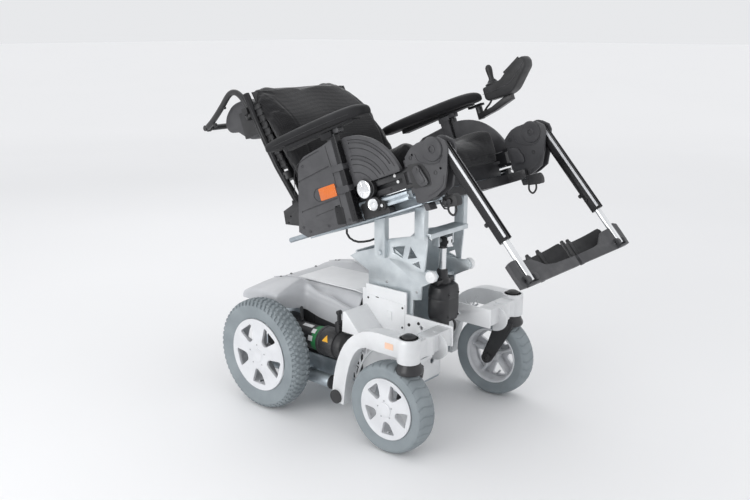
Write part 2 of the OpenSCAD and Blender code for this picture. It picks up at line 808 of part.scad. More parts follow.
module leg_tube(side) {
    top = -12;
    color("black") chair() seat() on_side(side) difference() {
        union() {
            leg() {
                for (x = [-6, 6]) bar_z(x, 0, 11.5, top - leg_tube_len, top);
                block(-6, 6, -11.5, 11.5, top - leg_tube_len, top);
                block(10, 17.5, -7, 7, top - leg_tube_len, top);
                block(-22, 0, -9, 9, -60, -12);
                bar_y(-6, -270, 5, -16, -10);
            }
            bar_y(knee_pin[0], knee_pin[1], 16, leg_y - 10, leg_y + 10);
            slab([[372, 212], [392, 238], [412, 236], [418, 214], [408, 190], [388, 196]],
                 leg_y - 10, leg_y + 10);
        }
        bar_y(knee_pin[0], knee_pin[1], knee_pin_r + running_gap, leg_y - 14, leg_y + 14);
        leg() bar_z(0, 0, slider_r + running_gap, top - leg_tube_len - 1, -80);
        leg() block(14, 18, -3, 3, top - leg_tube_len - 1, top + 1);
    }
}

module leg_slider(side) {
    color("gainsboro") chair() seat() on_side(side) leg() {
        bar_z(0, 0, slider_r, foot_pin_z - 6, -slider_top);
        bar_y(0, foot_pin_z, foot_pin_r, -22, 22);
    }
}

// The footplate is shown folded up, flat along the leg; its sole then faces the front
foot_inner = [[-238, -foot_reach], [-10.5, -foot_reach], [-10.5, -372], [-50, -374], [-72, -386],
              [-96, -401], [-140, -407], [-238, -409]];
foot_outer = [[10.5, -foot_reach], [46, 2 - foot_reach], [48, -402], [48, -368], [30, -362], [10.5, -362]];
foot_t = 12;

module footplate(side) {
    color("dimgray") chair() seat() on_side(side) leg() difference() {
        union() {
            for (half = [foot_inner, foot_outer])
                translate([-foot_t, 0, 0]) rotate([90, 0, 90]) linear_extrude(foot_t) polygon(half);
            // knuckles on both sides of the leg, joined under its end
            for (y = [-24, 10.5]) bar_y(0, foot_pin_z, 12, y, y + 13.5);
            block(-6, 10, -24, 24, -foot_reach - 1, foot_pin_z - 12);
        }
        bar_y(0, foot_pin_z, foot_pin_r + running_gap, -25, 25);
    }
}

module heel_strap(side) {
    y0 = -232;
    y1 = -32;
    mid = (y0 + y1) / 2;
    back = concat([[-foot_t, y1]], curve([-26, y1], [-84, mid], [-26, y0], 10), [[-foot_t, y0]]);
    front = concat([[-foot_t, y0 + 5]], curve([-22, y0 + 5], [-76, mid], [-22, y1 - 5], 10),
                   [[-foot_t, y1 - 5]]);
    color("black") chair() seat() on_side(side) leg()
        translate([0, 0, -426]) linear_extrude(60) polygon(concat(back, front));
}

base_frame();
battery_box();
lift_housing();
lift_column();
front_cover(RIGHT);  // front_cover_right
front_cover(LEFT);  // front_cover_left
rear_shroud();
motor(RIGHT);  // motor_right
motor(LEFT);  // motor_left
caster_arm(RIGHT);  // caster_arm_right
caster_arm(LEFT);  // caster_arm_left
end_caps();
clutch_lever(RIGHT);  // clutch_lever_right
clutch_lever(LEFT);  // clutch_lever_left
drive_tyre(RIGHT);  // drive_tyre_right
drive_tyre(LEFT);  // drive_tyre_left
drive_rim(RIGHT);  // drive_rim_right
drive_rim(LEFT);  // drive_rim_left
caster_fork(RIGHT);  // caster_fork_right
caster_fork(LEFT);  // caster_fork_left
caster_tyre(RIGHT);  // caster_tyre_right
caster_tyre(LEFT);  // caster_tyre_left
caster_rim(RIGHT);  // caster_rim_right
caster_rim(LEFT);  // caster_rim_left
lift_plates();
lift_crossbeam();
tilt_actuator();
actuator_rod();
seat_frame();
tilt_frame();
seat_cushion();
side_rail(RIGHT);  // side_rail_right
side_rail(LEFT);  // side_rail_left
side_guards();
wiring();
back_frame();
back_shell();
back_cushion();
push_bar();
armrest(RIGHT);  // armrest_right
armrest(LEFT);  // armrest_left
arm_pad(RIGHT);  // arm_pad_right
arm_pad(LEFT);  // arm_pad_left
joystick_arm();
joystick_box();
joystick_gimbal();
joystick_stick();
joystick_button();
legrest(RIGHT);  // legrest_right
legrest(LEFT);  // legrest_left
legrest_lever(RIGHT);  // legrest_lever_right
legrest_lever(LEFT);  // legrest_lever_left
leg_tube(RIGHT);  // leg_tube_right
leg_tube(LEFT);  // leg_tube_left
leg_slider(RIGHT);  // leg_slider_right
leg_slider(LEFT);  // leg_slider_left
footplate(RIGHT);  // footplate_right
footplate(LEFT);  // footplate_left
heel_strap(RIGHT);  // heel_strap_right
heel_strap(LEFT);  // heel_strap_left
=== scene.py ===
import json
import math

import bmesh
import bpy
from mathutils import Matrix, Vector

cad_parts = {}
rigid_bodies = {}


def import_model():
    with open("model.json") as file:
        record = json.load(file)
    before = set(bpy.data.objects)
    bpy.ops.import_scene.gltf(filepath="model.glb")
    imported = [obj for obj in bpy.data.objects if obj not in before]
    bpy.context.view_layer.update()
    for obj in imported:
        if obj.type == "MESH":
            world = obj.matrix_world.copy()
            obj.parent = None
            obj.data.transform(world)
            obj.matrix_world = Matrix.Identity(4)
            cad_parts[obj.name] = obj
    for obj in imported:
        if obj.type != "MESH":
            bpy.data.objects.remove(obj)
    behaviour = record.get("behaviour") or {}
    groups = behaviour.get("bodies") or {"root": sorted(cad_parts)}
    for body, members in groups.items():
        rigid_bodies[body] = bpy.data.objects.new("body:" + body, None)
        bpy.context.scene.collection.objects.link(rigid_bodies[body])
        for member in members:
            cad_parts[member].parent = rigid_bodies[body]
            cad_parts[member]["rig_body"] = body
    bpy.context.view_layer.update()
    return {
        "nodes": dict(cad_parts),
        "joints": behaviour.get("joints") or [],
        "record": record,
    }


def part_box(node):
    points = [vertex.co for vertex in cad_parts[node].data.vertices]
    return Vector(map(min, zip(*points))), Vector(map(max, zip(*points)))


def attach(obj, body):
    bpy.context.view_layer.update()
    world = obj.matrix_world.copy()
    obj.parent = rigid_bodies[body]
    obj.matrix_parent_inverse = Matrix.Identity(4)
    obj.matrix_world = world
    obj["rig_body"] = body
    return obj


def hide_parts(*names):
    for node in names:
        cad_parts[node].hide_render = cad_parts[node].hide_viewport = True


# Power wheelchair: looks. Shapes are built in millimetres in the part's own three spaces and then
# placed: BASE (x forward from the drive axle, z up), SEAT (u along the tilted seat, w square to it)
# and LEG (x forward of a leg tube, z up along it). Pieces of a pair are built on the left (+y) side.

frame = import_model()
joint = {j["name"]: j for j in frame["joints"]}

MM = 0.001
X, Y, Z = (1, 0, 0), (0, 1, 0), (0, 0, 1)
EDGE_ANGLE = 32          # degrees; a sharper turn is an edge
RIGHT, LEFT = -1, 1
SIDES = {"right": RIGHT, "left": LEFT}


def spot(name):
    return Vector(joint[name]["pos_m"])


def space(origin, forward, up):
    """Matrix from millimetres in a space to the frame's metres."""
    m = Matrix.Identity(4)
    for row in range(3):
        m[row][0] = forward[row] * MM
        m[row][1] = (0.0, MM, 0.0)[row]
        m[row][2] = up[row] * MM
        m[row][3] = origin[row]
    return m


seat_up = Vector(joint["armrest_height_right"]["axis"]).normalized()
seat_forward = Vector((seat_up.z, 0, -seat_up.x))
recline = spot("back_recline")
RECLINE_PIN = Vector((-200, 0, 175))
leg_up = -Vector(joint["leg_length_right"]["axis"]).normalized()
leg_forward = Vector((leg_up.z, 0, -leg_up.x))
foot_pin = spot("footplate_fold_right")
FOOT_PIN_Z = -420

BASE = space((spot("drive_wheel_spin_right").x, 0, 0), X, Z)
seat_offset = (seat_forward * RECLINE_PIN.x + seat_up * RECLINE_PIN.z) * MM
SEAT = space(Vector((recline.x, 0, recline.z)) - seat_offset, seat_forward, seat_up)
LEG = space(Vector((foot_pin.x, 0, foot_pin.z)) - leg_up * FOOT_PIN_Z * MM, leg_forward, leg_up)

# ---------------------------------------------------------------- materials

materials = {}


class Paint:
    """A node material under construction: one Principled shader and the textures that feed it."""

    def __init__(self, name, roughness=0.5, metallic=0.0, **sockets):
        self.m = bpy.data.materials.new(name)
        self.m.use_nodes = True
        self.nodes = self.m.node_tree.nodes
        self.links = self.m.node_tree.links
        self.shader = self.nodes["Principled BSDF"]
        self.shader.inputs["Roughness"].default_value = roughness
        self.shader.inputs["Metallic"].default_value = metallic
        for key, value in sockets.items():
            self.shader.inputs[key.replace("_", " ").title().replace("Ior", "IOR")].default_value = value
        self.place = self.nodes.new("ShaderNodeTexCoord").outputs["Object"]
        materials[name] = self.m

    def node(self, kind, values=(), **inputs):
        n = self.nodes.new("ShaderNode" + kind)
        for key, value in dict(values).items():
            setattr(n, key, value)
        for key, value in inputs.items():
            socket = n.inputs[int(key[1:])] if key[0] == "i" and key[1:].isdigit() else n.inputs[key]
            if isinstance(value, bpy.types.NodeSocket):
                self.links.new(value, socket)
            else:
                socket.default_value = value
        return n

    def mapped(self, **values):
        return self.node("Mapping", Vector=self.place, **values).outputs[0]

    def noise(self, scale, detail=3.0, at=None, rough=0.5):
        return self.node("TexNoise", Vector=at or self.place, Scale=scale, Detail=detail,
                         Roughness=rough).outputs["Fac"]

    def step(self, value, low, high, to_low=0.0, to_high=1.0):
        n = self.node("MapRange", Value=value)
        for key, number in zip(("From Min", "From Max", "To Min", "To Max"), (low, high, to_low, to_high)):
            n.inputs[key].default_value = number
        return n.outputs[0]

    def math(self, operation, a, b=0.0):
        return self.node("Math", {"operation": operation}, i0=a, i1=b).outputs[0]

    def mix(self, factor, a, b):
        n = self.node("Mix", {"data_type": "RGBA"})
        self.links.new(factor, n.inputs[0])
        for socket, value in ((n.inputs[6], a), (n.inputs[7], b)):
            if isinstance(value, bpy.types.NodeSocket):
                self.links.new(value, socket)
            else:
                socket.default_value = (*value, 1.0)
        return n.outputs[2]

    def colour(self, socket):
        self.links.new(socket, self.shader.inputs["Base Color"])

    def rough(self, socket):
        self.links.new(socket, self.shader.inputs["Roughness"])

    def bump(self, height, distance, strength=1.0):
        """Adds relief; distance is in metres."""
        n = self.node("Bump", Height=height)
        n.inputs["Strength"].default_value = strength
        n.inputs["Distance"].default_value = distance
        old = self.shader.inputs["Normal"]
        if old.is_linked:
            self.links.new(old.links[0].from_socket, n.inputs["Normal"])
        self.links.new(n.outputs[0], old)


def mottled(name, dark, light, roughness, metallic=0.0, patch=18.0, grain=900.0, grain_depth=0.00006,
            rough_spread=0.08, **sockets):
    """Two close tones in soft patches, uneven gloss and a fine grain: the base of most finishes."""
    p = Paint(name, roughness, metallic, **sockets)
    patches = p.step(p.noise(patch, 5.0), 0.32, 0.68)
    p.colour(p.mix(patches, dark, light))
    p.rough(p.step(p.noise(patch * 2.3, 4.0), 0.3, 0.7, roughness - rough_spread, roughness + rough_spread))
    p.bump(p.noise(grain, 2.0), grain_depth)
    return p


def zinc(name, dark, light):
    p = mottled(name, dark, light, 0.36, 0.6, patch=26.0, grain=1400.0, grain_depth=0.00002)
    streaks = p.noise(60.0, 3.0, at=p.mapped(Scale=(1.0, 1.0, 14.0)))
    p.bump(streaks, 0.00003)


def fabric(name, dark, light, pitch, relief, angle):
    """Knitted cover: staggered rows of small cells, soft sheen and a broad tone change."""
    p = Paint(name, 0.85, 0.0, sheen_weight=0.35, sheen_roughness=0.4, specular_ior_level=0.25)
    at = p.mapped(Rotation=(0, angle, 0))   # the pattern follows the tilted seat
    cells = p.node("TexVoronoi", {"feature": "SMOOTH_F1"}, Vector=at, Scale=1.0 / pitch,
                   Smoothness=0.35, Randomness=0.18).outputs["Distance"]
    tone = p.math("MULTIPLY", p.step(cells, 0.15, 0.6, 1.0, 0.0),
                  p.step(p.noise(14.0, 4.0, at), 0.3, 0.7, 0.5, 1.0))
    p.colour(p.mix(tone, dark, light))
    p.bump(cells, relief)
    p.bump(p.noise(45.0, 3.0, at), 0.0012, 0.6)


def make_materials():
    tilt = math.atan2(seat_forward.z, seat_forward.x)
    zinc("zinc_plate", (0.56, 0.605, 0.63), (0.69, 0.735, 0.755))
    zinc("zinc_frame", (0.36, 0.41, 0.45), (0.55, 0.61, 0.65))
    mottled("white_cover", (0.84, 0.85, 0.86), (0.89, 0.90, 0.91), 0.38, coat_weight=0.2, coat_roughness=0.25)
    mottled("shroud_grey", (0.52, 0.53, 0.55), (0.58, 0.59, 0.61), 0.36, coat_weight=0.3, coat_roughness=0.2)
    mottled("cast_silver", (0.69, 0.70, 0.71), (0.77, 0.78, 0.79), 0.40, 0.2, grain=700.0, grain_depth=0.0001)
    mottled("silver_rim", (0.68, 0.69, 0.71), (0.75, 0.76, 0.78), 0.36, 0.15, coat_weight=0.3)
    mottled("motor_black", (0.018, 0.018, 0.019), (0.032, 0.032, 0.034), 0.42, grain_depth=0.0001)
    mottled("black_plastic", (0.016, 0.016, 0.017), (0.028, 0.028, 0.03), 0.45, grain=1100.0)
    mottled("black_metal", (0.014, 0.014, 0.016), (0.024, 0.024, 0.026), 0.38, grain=650.0,
            grain_depth=0.0001, coat_weight=0.15)
    mottled("panel_charcoal", (0.052, 0.052, 0.056), (0.075, 0.075, 0.08), 0.5, grain=850.0,
            grain_depth=0.0001)
    mottled("legrest_grey", (0.042, 0.042, 0.046), (0.062, 0.062, 0.066), 0.48, grain=850.0,
            grain_depth=0.0001)
    mottled("pad_charcoal", (0.007, 0.007, 0.008), (0.013, 0.013, 0.015), 0.62, patch=10.0, grain=500.0,
            grain_depth=0.00015, sheen_weight=0.1, specular_ior_level=0.22)
    mottled("battery_plastic", (0.03, 0.03, 0.032), (0.05, 0.05, 0.053), 0.6)
    mottled("tube_black", (0.010, 0.010, 0.011), (0.018, 0.018, 0.02), 0.3, 0.4, grain=1600.0,
            grain_depth=0.00002)
    mottled("cable_black", (0.012, 0.012, 0.012), (0.022, 0.022, 0.022), 0.55)
    mottled("strap_black", (0.010, 0.010, 0.011), (0.022, 0.022, 0.024), 0.75, patch=40.0, grain=420.0,
            grain_depth=0.0003, sheen_weight=0.2)
    mottled("chrome", (0.80, 0.81, 0.82), (0.90, 0.91, 0.92), 0.12, 1.0, rough_spread=0.04,
            grain_depth=0.00001)
    mottled("brass", (0.55, 0.40, 0.18), (0.70, 0.52, 0.25), 0.3, 1.0, grain_depth=0.00002)
    mottled("amber", (0.62, 0.12, 0.002), (0.76, 0.17, 0.004), 0.25, coat_weight=0.5)
    mottled("screw_steel", (0.35, 0.36, 0.37), (0.55, 0.56, 0.57), 0.32, 1.0)
    mottled("button_grey", (0.45, 0.45, 0.46), (0.6, 0.6, 0.61), 0.35, coat_weight=0.3)
    mottled("display_glass", (0.01, 0.012, 0.014), (0.02, 0.024, 0.028), 0.12, coat_weight=0.8)
    mottled("label_white", (0.70, 0.70, 0.70), (0.78, 0.78, 0.78), 0.5)
    mottled("label_green", (0.02, 0.16, 0.05), (0.03, 0.24, 0.08), 0.5)
    mottled("label_yellow", (0.75, 0.38, 0.02), (0.9, 0.48, 0.03), 0.5)
    mottled("label_orange", (0.80, 0.50, 0.34), (0.84, 0.58, 0.44), 0.5)
    tyre = mottled("grey_tyre", (0.215, 0.245, 0.262), (0.275, 0.31, 0.328), 0.68, patch=12.0, grain=600.0,
                   grain_depth=0.0002, rough_spread=0.1)
    tyre.bump(tyre.noise(90.0, 4.0), 0.0004, 0.5)
    fabric("back_fabric", (0.007, 0.007, 0.008), (0.030, 0.029, 0.031), 0.0042, 0.0006, -tilt)
    fabric("seat_fabric", (0.008, 0.008, 0.009), (0.030, 0.030, 0.033), 0.0030, 0.0004, -tilt)


# ---------------------------------------------------------------- mesh helpers


def smooth(obj, angle=EDGE_ANGLE):
    obj.data.shade_smooth()
    obj.data.set_sharp_from_angle(angle=math.radians(angle))


def baked(obj):
    """The object's modifiers applied, so that its mesh is final."""
    graph = bpy.context.evaluated_depsgraph_get()
    mesh = bpy.data.meshes.new_from_object(obj.evaluated_get(graph))
    obj.modifiers.clear()
    obj.data = mesh
    return obj


def assign(target, **values):
    for key, value in values.items():
        setattr(target, key, value)


def modify(obj, kind, **values):
    assign(obj.modifiers.new(kind.lower(), kind), **values)


def linked(name, data):
    obj = bpy.data.objects.new(name, data)
    bpy.context.scene.collection.objects.link(obj)
    return obj


def solid(name, bm):
    """A linked object made from a bmesh, which is used up."""
    mesh = bpy.data.meshes.new(name)
    bm.to_mesh(mesh)
    bm.free()
    return linked(name, mesh)


def mirrored(bm):
    bmesh.ops.scale(bm, vec=(1, -1, 1), verts=bm.verts)
    bmesh.ops.reverse_faces(bm, faces=bm.faces)


def outward(bm):
    bmesh.ops.recalc_face_normals(bm, faces=bm.faces)
    return bm


def eased(obj, width, segments, angle=30, **values):
    modify(obj, "BEVEL", width=width * MM, segments=segments, limit_method="ANGLE",
           angle_limit=math.radians(angle), **values)


def finished(obj, body, material, slot, replaces=None, angle=EDGE_ANGLE):
    """Paint, shading and the frame's book-keeping for one piece."""
    obj.data.materials.clear()
    obj.data.materials.append(materials[material])
    smooth(obj, angle)
    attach(obj, body)
    if replaces:
        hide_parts(replaces)
    return obj


def piece(name, bm, where, body, material, side=LEFT, bevel=0.0, segments=2, subdivide=0, replaces=None,
          angle=EDGE_ANGLE, slot=None):
    """Turns a bmesh in millimetres into a finished piece that rides on a body."""
    if side == RIGHT:
        mirrored(bm)
    bm.transform(where)
    obj = solid(name, bm)
    if bevel:
        eased(obj, bevel, segments)
    if subdivide:
        modify(obj, "SUBSURF", levels=subdivide, render_levels=subdivide)
    if bevel or subdivide:
        baked(obj)
    return finished(obj, body, material, slot or material, replaces, angle)


def adder(name, side):
    """The piece function for one side of a pair, which ends the labels with the side's name."""
    def add(label, bm, where, body, material, **more):
        return piece(f"{label}_{name}", bm, where, body, material, side, **more)
    return add


def both(make):
    """Makes one group of pieces on each side."""
    for name, side in SIDES.items():
        make(name, adder(name, side))


def ring_faces(bm, a, b):
    n = len(a)
    for k in range(n):
        bm.faces.new((a[k], a[(k + 1) % n], b[(k + 1) % n], b[k]))


def loft(bm, rings, closed=False):
    """Skins rings of points, each ring a closed loop of the same length."""
    made = [[bm.verts.new(p) for p in ring] for ring in rings]
    for a, b in zip(made, made[1:]):
        ring_faces(bm, a, b)
    if closed:
        ring_faces(bm, made[-1], made[0])
    else:
        bm.faces.new(reversed(made[0]))
        bm.faces.new(made[-1])
    return bm


def tidy(bm, distance=0.001):
    bmesh.ops.remove_doubles(bm, verts=bm.verts, dist=distance)
    return outward(bm)


def slab(bm, points, y0, y1):
    """A profile of x and z points, pulled along y."""
    return loft(bm, [[(x, y0, z) for x, z in points], [(x, y1, z) for x, z in points]])


def axes_of(direction):
    d = Vector(direction).normalized()
    side = d.orthogonal().normalized()
    return d, side, d.cross(side)


def turned(bm, profile, origin, direction, count=48, hollow=False):
    """A lathe: profile of (distance along, radius) points, turned about a line through origin.
    A hollow one has a closed profile that keeps off the line."""
    d, a, b = axes_of(direction)
    o = Vector(origin)
    rings = []
    for along, radius in profile:
        r = max(radius, 0.02)
        rings.append([o + d * along + (a * math.cos(t) + b * math.sin(t)) * r
                      for t in (2 * math.pi * k / count for k in range(count))])
    return loft(bm, rings, closed=hollow)


def rod(bm, p, q, radius, count=24):
    p, q = Vector(p), Vector(q)
    length = (q - p).length
    return turned(bm, [(0, radius), (length, radius)], p, q - p, count)


def swept(bm, path, radius, count=20):
    """A tube along a path."""
    path = [Vector(p) for p in path]
    last = len(path) - 1
    tangents = [(path[min(i + 1, last)] - path[max(i - 1, 0)]).normalized() for i in range(len(path))]
    side = tangents[0].orthogonal().normalized()
    rings = []
    for p, t in zip(path, tangents):
        side = (side - t * side.dot(t)).normalized()
        other = t.cross(side)
        rings.append([p + (side * math.cos(s) + other * math.sin(s)) * radius
                      for s in (2 * math.pi * k / count for k in range(count))])
    return loft(bm, rings)


def flowing(points, per=8):
    """Catmull-Rom points through the given ones."""
    pts = [Vector(p) for p in points]
    ext = [pts[0] * 2 - pts[1], *pts, pts[-1] * 2 - pts[-2]]
    out = []
    for i in range(1, len(ext) - 2):
        p0, p1, p2, p3 = ext[i - 1:i + 3]
        for k in range(per):
            t = k / per
            out.append(0.5 * (2 * p1 + (p2 - p0) * t + (2 * p0 - 5 * p1 + 4 * p2 - p3) * t * t
                              + (3 * p1 - p0 - 3 * p2 + p3) * t ** 3))
    out.append(pts[-1])
    return out


def shrunk(outline, centre, k):
    """A 2-D outline scaled about a point."""
    cx, cz = centre
    return [(cx + (x - cx) * k, cz + (z - cz) * k) for x, z in outline]


def pillow(bm, outline, centre, layers):
    """An outline pulled along y through layers of (y, scale)."""
    return outward(loft(bm, [[(x, y, z) for x, z in shrunk(outline, centre, k)] for y, k in layers]))


def rounded(points, radius, count=4):
    """The corners of a closed outline of 2-D points rounded off."""
    out, n = [], len(points)
    for i in range(n):
        p = Vector(points[i])
        before, after = Vector(points[i - 1]) - p, Vector(points[(i + 1) % n]) - p
        r = min(radius[i] if isinstance(radius, (list, tuple)) else radius,
                before.length * 0.45, after.length * 0.45)
        if r <= 0:
            out.append(tuple(p))
            continue
        a, b = p + before.normalized() * r, p + after.normalized() * r
        for k in range(count + 1):
            t = k / count
            q = a * (1 - t) ** 2 + p * 2 * t * (1 - t) + b * t * t
            out.append(tuple(q))
    return out


def oblong(x0, x1, z0, z1, radius, count=4):
    return rounded([(x0, z0), (x1, z0), (x1, z1), (x0, z1)], radius, count)


def new():
    return bmesh.new()


def refined(node, material, bevel=1.0, segments=2, second=None, where=None):
    """A CAD node with its edges eased: a new piece that stands for the node. Faces whose middle,
    in SEAT, passes the test `where` take the second material."""
    source = frame["nodes"][node]
    bm = new()
    bm.from_mesh(source.data)
    bmesh.ops.remove_doubles(bm, verts=bm.verts, dist=1e-5)
    bmesh.ops.dissolve_limit(bm, angle_limit=math.radians(0.6), verts=bm.verts, edges=bm.edges)
    obj = solid(node + "_body", bm)
    eased(obj, bevel, segments, EDGE_ANGLE)
    baked(obj)
    finished(obj, source["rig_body"], material, material, node)
    if second:
        obj.data.materials.append(materials[second])
        inverse = SEAT.inverted()
        for face in obj.data.polygons:
            if where(inverse @ face.center):
                face.material_index = 1


def screw(bm, at, direction, radius=4.0, height=2.2):
    """A button-head screw with a hexagon socket."""
    h = height
    profile = [(0, radius), (h * 0.35, radius), (h * 0.75, radius * 0.86), (h, radius * 0.55),
               (h, radius * 0.45), (h * 0.3, radius * 0.42)]
    return turned(bm, profile, at, direction, 18)


# ---------------------------------------------------------------- wheels

WHEELS = {
    "drive": dict(x=0, y=297, radius=178, width=76, bead=118, hub=26, axle=10, turn=54,
                  cap=((3.4, 0.20), (5.0, 0.195), (5.4, 0.18), (4.6, 0.165), (4.8, 0.05), (5.2, 0))),
    "caster": dict(x=502, y=268, radius=134, width=73, bead=92, hub=18, axle=6, turn=60,
                   cap=((3.6, 0.24), (6.2, 0.235), (7.0, 0.21), (7.6, 0.1), (7.8, 0))),
}


def crown(w, t):
    """Tyre section at t from -1 to 1 across the tread: radius and sideways place."""
    a = math.radians(80 * t)
    k = (w["radius"] - w["bead"]) * 0.52
    c, s = abs(math.cos(a)), math.sin(a)
    return w["radius"] - k + k * c ** 0.55, 0.5 * w["width"] * math.copysign(abs(s) ** 0.75, s)


def ramp(value, low, high):
    t = min(max((value - low) / (high - low), 0.0), 1.0)
    return t * t * (3 - 2 * t)


def knobs(turn, t):
    """Depth of the drive tyre's tread pattern: shoulder lugs and staggered centre blocks."""
    pitch = turn * 60
    a = abs(t)
    if a > 0.93:
        return 0.0
    if a > 0.46:
        gap = abs((pitch + 0.18 * math.copysign(1, t) + a * 0.5) % 1.0 - 0.5) * 2
        depth = ramp(gap, 0.48, 0.62) * 5.5 * (1 - ramp(a, 0.84, 0.93))
        return max(depth, 4.0 * (1 - ramp(a, 0.46, 0.50)))
    row = 0.5 if a < 0.16 else 0.0
    gap = abs((pitch + row) % 1.0 - 0.5) * 2
    edge = min(abs(a - 0.16), abs(a - 0.46))
    return max(ramp(gap, 0.50, 0.66) * 4.0, 3.6 * (1 - ramp(edge, 0.02, 0.05)))


def ribs(turn, t):
    """Depth of the caster tyre's fine zigzag cuts."""
    a = abs(t)
    if a > 0.80:
        return 0.0
    zig = 0.30 * (abs((t * 2.2 + 0.5) % 2.0 - 1.0))
    gap = abs((turn * 30 + zig) % 1.0 - 0.5)
    cut = (1 - ramp(gap, 0.05, 0.11)) * 2.4
    shoulder = (1 - ramp(abs(a - 0.66), 0.0, 0.035)) * 0.9
    return max(cut * (1 - ramp(a, 0.70, 0.80)), shoulder)


def tyre(kind, name):
    w = WHEELS[kind]
    depth, around = (knobs, 512) if kind == "drive" else (ribs, 420)
    across = 46
    foot = w["bead"] + 0.4
    rings = []
    for k in range(around):
        turn = k / around
        angle = 2 * math.pi * turn
        ring = [(foot, -0.37 * w["width"])]
        for t in (-1 + 2 * i / across for i in range(across + 1)):
            r, y = crown(w, t)
            ring.append((r - depth(turn, t), y * (1 - 0.02 * depth(turn, t) / 3)))
        ring.append((foot, 0.37 * w["width"]))
        rings.append([(w["x"] + r * math.cos(angle), w["y"] + y, w["radius"] + r * math.sin(angle))
                      for r, y in ring])
    bm = tidy(loft(new(), rings, closed=True))
    piece(f"{kind}_tyre_{name}_rubber", bm, BASE, f"{kind}_wheel_{name}", "grey_tyre", SIDES[name],
          replaces=f"{kind}_tyre_{name}", angle=40)


def polar(degrees):
    a = math.radians(degrees)
    return math.cos(a), math.sin(a)


def windows(w, y0, y1):
    """Five rounded wedge windows, as cutters."""
    bm = new()
    b = w["bead"]
    shape = [(b * 0.83, -b * 0.27), (b * 0.83, b * 0.27), (b * 0.40, b * 0.09), (b * 0.40, -b * 0.09)]
    shape = rounded(shape, b * 0.085, 5)
    for i in range(5):
        c, s = polar(72 * i + w["turn"])
        slab(bm, [(w["x"] + px * c - pz * s, w["radius"] + px * s + pz * c) for px, pz in shape], y0, y1)
    return outward(bm)


def rim(kind, name, add):
    """Barrel, dished five-window face, hub and cap."""
    w = WHEELS[kind]
    b, hub, y = w["bead"], w["hub"], w["y"]
    lip = y + 0.40 * w["width"]
    axis = dict(origin=(w["x"], 0, w["radius"]), direction=Y)
    face = new()
    turned(face, [(lip - 11, b * 0.93), (lip - 3, b - 2.5), (lip, b), (lip + 2.2, b - 1.5),
                  (lip + 2.0, b * 0.955), (lip - 1.0, b * 0.90), (lip + 0.5, b * 0.60), (lip + 3.5, b * 0.34),
                  (lip + 4.0, b * 0.05), (lip - 4.0, b * 0.05), (lip - 5.5, b * 0.34), (lip - 8.5, b * 0.60),
                  (lip - 11, b * 0.88)],
           count=80, hollow=True, **axis)
    cutter = windows(w, lip - 40, lip + 30)
    for m in (face, cutter):
        if SIDES[name] == RIGHT:
            mirrored(m)
        m.transform(BASE)
    tool = solid("cutter", cutter)
    obj = solid(f"{kind}_wheel_face_{name}", tidy(face, 1e-6))
    modify(obj, "BOOLEAN", object=tool, operation="DIFFERENCE", solver="EXACT")
    baked(obj)
    bpy.data.objects.remove(tool)
    eased(obj, 1.6, 3, 40)
    baked(obj)
    body = f"{kind}_wheel_{name}"
    finished(obj, body, "silver_rim", "silver_rim", f"{kind}_rim_{name}", 40)

    half = 0.38 * w["width"]
    barrel = new()
    for profile in ([(y - half, b + 1), (y - half - 1.5, b - 2), (y - half, b - 5), (y - half + 6, b - 9),
                     (lip - 14, b - 9), (lip - 11, b - 6), (lip - 11, b - 1)],
                    [(y - half + 12, hub), (y - half + 14, hub + 1), (lip - 6, hub + 1), (lip - 5, hub - 2),
                     (lip - 5, w["axle"] + 0.5), (y - half + 12, w["axle"] + 0.5)]):
        turned(barrel, profile, count=72, hollow=True, **axis)
    # inner web behind the face, with ribs
    for i in range(5):
        c, s = polar(72 * i + w["turn"] + 36)
        px, pz = w["x"] + c * b * 0.55, w["radius"] + s * b * 0.55
        sx, sz = -s * 4, c * 4
        ex, ez = c * b * 0.37, s * b * 0.37
        slab(barrel, [(px - ex - sx, pz - ez - sz), (px + ex - sx, pz + ez - sz),
                      (px + ex + sx, pz + ez + sz), (px - ex + sx, pz - ez + sz)], y - 6, lip - 9)
    tidy(barrel)
    add(f"{kind}_wheel_barrel", barrel, BASE, body, "silver_rim", bevel=0.8)

    cap = turned(new(), [(lip + out, b * r) for out, r in w["cap"]], count=48, **axis)
    add(f"{kind}_wheel_cap", cap, BASE, body, "silver_rim")
    bolts = new()
    for i in range(5):
        c, s = polar(72 * i + w["turn"] + 36)
        screw(bolts, (w["x"] + b * 0.29 * c, lip + 3.4, w["radius"] + b * 0.29 * s), Y, 2.6, 1.2)
    # valve stem in one of the windows
    c, s = polar(w["turn"] - 144)
    turned(bolts, [(0, 3.2), (10, 2.6), (12, 3.4), (20, 3.4), (21.5, 2.2)],
           (w["x"] + b * 0.80 * c, lip - 22, w["radius"] + b * 0.80 * s), (-0.25 * c, 1, -0.25 * s), 14)
    add(f"{kind}_wheel_bolts", bolts, BASE, body, "screw_steel", slot="chrome")


def wheels(name, add):
    """Both wheels of one side."""
    for kind in WHEELS:
        tyre(kind, name)
        rim(kind, name, add)


# ---------------------------------------------------------------- chassis


def dot_row(points, value):
    """Straight-line value of a table of (place, value) points."""
    for (x0, v0), (x1, v1) in zip(points, points[1:]):
        if value <= x1:
            t = (value - x0) / (x1 - x0)
            return v0 + (v1 - v0) * min(max(t, 0.0), 1.0)
    return points[-1][1]


